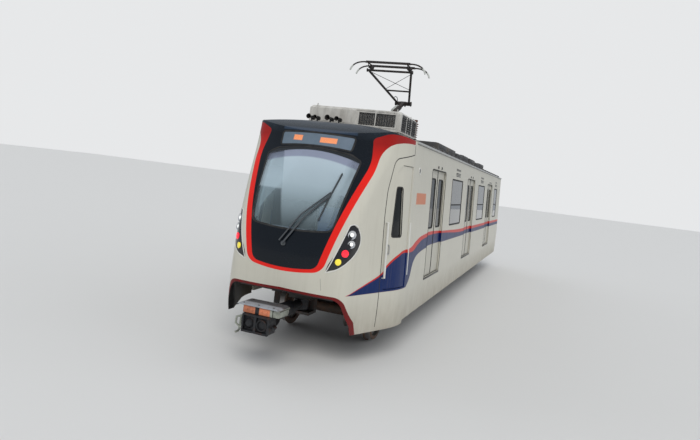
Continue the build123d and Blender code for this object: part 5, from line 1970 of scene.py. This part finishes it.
def make_frame_details():
    """Springs, valve block and pipe on the pantograph's frame, and the ribs of its insulators."""
    shape = Shape()
    for y in (-0.23, 0.23):
        coil = [(3.52 + 0.0028 * k, y + 0.030 * math.cos(k * 0.8), FRAME_Z + 0.075 + 0.030 * math.sin(k * 0.8))
                for k in range(160)]
        shape.bar(coil, 0.005, 6)
        shape.bar([(3.36, y, FRAME_Z + 0.075), (3.54, y, FRAME_Z + 0.075)], 0.012, 8)
        shape.bar([(3.94, y, FRAME_Z + 0.075), (4.12, y, FRAME_Z + 0.075)], 0.012, 8)
        for x in (3.34, 4.15):
            shape.block((x - 0.02, y - 0.02, FRAME_Z), (x + 0.02, y + 0.02, FRAME_Z + 0.095), 0.004)
    shape.block((4.20, -0.40, FRAME_Z - 0.025), (4.40, -0.16, FRAME_Z + 0.080), 0.010)
    pipe = [(4.30, -0.16, 0.03), (4.34, 0.0, 0.02), (4.30, 0.30, 0.03), (4.30, 0.41, 0.0)]
    shape.bar([(x, y, FRAME_Z + z) for x, y, z in pipe], 0.012, 8)
    shape.done("pantograph_springs", "arm", slot="dark_steel")
    sheds = Shape()
    for x in FRAME_X:
        for side in SIDES:
            base = roof_z(FRAME_Y) - 0.008
            profile = [(0.052, 0.0)]
            for k in range(3):
                z = 0.020 + 0.036 * k
                profile += [(0.050, z), (0.070, z + 0.008), (0.070, z + 0.014), (0.050, z + 0.022)]
            sheds.turned(profile + [(0.050, 0.128), (0.0, 0.130)], (x, side * FRAME_Y, base), UP, 24)
    sheds.done("pantograph_insulators", "porcelain", slot="dark_steel")


class METRO_OT_pantograph(Maker, bpy.types.Operator):
    """Make the collector head, cables, springs and rods of the pantograph"""
    bl_idname = "metro.pantograph"
    bl_label = "Pantograph details"
    makers = (make_pantograph_head, make_arm_details, make_frame_details)


# Cab seat

def puffed(name, low, high, cap):
    """Cushion: a rounded block that is remeshed, blown up by cloth simulation and smoothed."""
    shape = Shape()
    shape.block(low, high, 0.022)
    obj = shape.done(name, "cloth", slot="seat_cloth", sharp=180.0)
    remesh = obj.modifiers.new("voxels", "REMESH")
    remesh.mode = "VOXEL"
    remesh.voxel_size = 0.006
    start = bpy.data.meshes.new_from_object(obj.evaluated_get(bpy.context.evaluated_depsgraph_get()))
    obj.modifiers.clear()
    obj.data = start
    rest = [v.co.copy() for v in start.vertices]
    soft = obj.modifiers.new("puff", "CLOTH")
    soft.settings.use_pressure = True
    soft.settings.uniform_pressure_force = 4.0
    soft.settings.effector_weights.gravity = 0.0
    for number in range(1, 21):
        bpy.context.scene.frame_set(number)
    blown = obj.evaluated_get(bpy.context.evaluated_depsgraph_get()).data
    moved = [v.co.copy() for v in blown.vertices]
    obj.modifiers.clear()
    for vert, old, new in zip(start.vertices, rest, moved):
        shift = new - old
        vert.co = old + shift * min(1.0, cap / max(shift.length, 1e-6))
    bpy.context.scene.frame_set(1)
    smooth = obj.modifiers.new("smooth", "SUBSURF")
    smooth.levels = smooth.render_levels = 1
    obj.data = bpy.data.meshes.new_from_object(obj.evaluated_get(bpy.context.evaluated_depsgraph_get()))
    obj.modifiers.clear()
    for face in obj.data.polygons:
        face.use_smooth = True
    return obj


def make_cab_seat():
    """Driver's seat: plastic shells on a post, with two padded cushions, in place of the plain one."""
    shell = Shape()
    shell.block((6.150, -0.240, 1.480), (6.600, 0.240, 1.515), 0.014)
    shell.block((6.100, -0.230, 1.500), (6.135, 0.230, 2.150), 0.014)
    post = ((0.0, 0.0), (0.170, 0.0), (0.170, 0.020), (0.055, 0.045), (0.050, 0.430), (0.0, 0.430))
    shell.turned(post, (6.380, 0.0, FLOOR_Z + 0.002), UP, 28)
    for side in SIDES:
        shell.bar([(6.16, side * 0.232, 1.60), (6.20, side * 0.236, 1.74), (6.46, side * 0.236, 1.74)], 0.018, 10)
    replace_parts(shell.done("cab_seat_shell", "shell", slot="seat_plastic"), "cab_seat")
    for name, low, high in (("cab_seat_pad", (6.185, -0.200, 1.522), (6.580, 0.200, 1.572)),
                            ("cab_seat_back_pad", (6.142, -0.195, 1.620), (6.192, 0.195, 2.125))):
        puffed(name, low, high, 0.010)


class METRO_OT_seat(Maker, bpy.types.Operator):
    """Make the driver's seat"""
    bl_idname = "metro.seat"
    bl_label = "Cab seat"
    makers = (make_cab_seat,)


class METRO_PT_panel(bpy.types.Panel):
    """Panel in the sidebar that lists the groups"""
    bl_label = "Metro car"
    bl_idname = "METRO_PT_panel"
    bl_space_type = "VIEW_3D"
    bl_region_type = "UI"
    bl_category = "Metro car"

    def draw(self, context):
        for name in ("floor_half", "main_strength", "fill_strength"):
            self.layout.prop(context.scene.metro_stage, name)
        for operator in OPERATORS:
            self.layout.operator(operator.bl_idname)


GROUPS = {"metro_stage": MetroStage, "metro_colours": MetroColours}
OPERATORS = (METRO_OT_stage, METRO_OT_finishes, METRO_OT_seals, METRO_OT_lamps, METRO_OT_fittings,
             METRO_OT_running_gear, METRO_OT_roof, METRO_OT_coupler, METRO_OT_pantograph, METRO_OT_seat)


def register():
    for group in GROUPS.values():
        bpy.utils.register_class(group)
    for operator in OPERATORS:
        bpy.utils.register_class(operator)
    bpy.utils.register_class(METRO_PT_panel)
    for name, group in GROUPS.items():
        setattr(bpy.types.Scene, name, bpy.props.PointerProperty(type=group))


def unregister():
    for name in GROUPS:
        delattr(bpy.types.Scene, name)
    bpy.utils.unregister_class(METRO_PT_panel)
    for operator in reversed(OPERATORS):
        bpy.utils.unregister_class(operator)
    for group in GROUPS.values():
        bpy.utils.unregister_class(group)


def main():
    register()
    for operator in OPERATORS:
        group, action = operator.bl_idname.split(".")
        getattr(getattr(bpy.ops, group), action)()


if __name__ == "__main__":
    main()
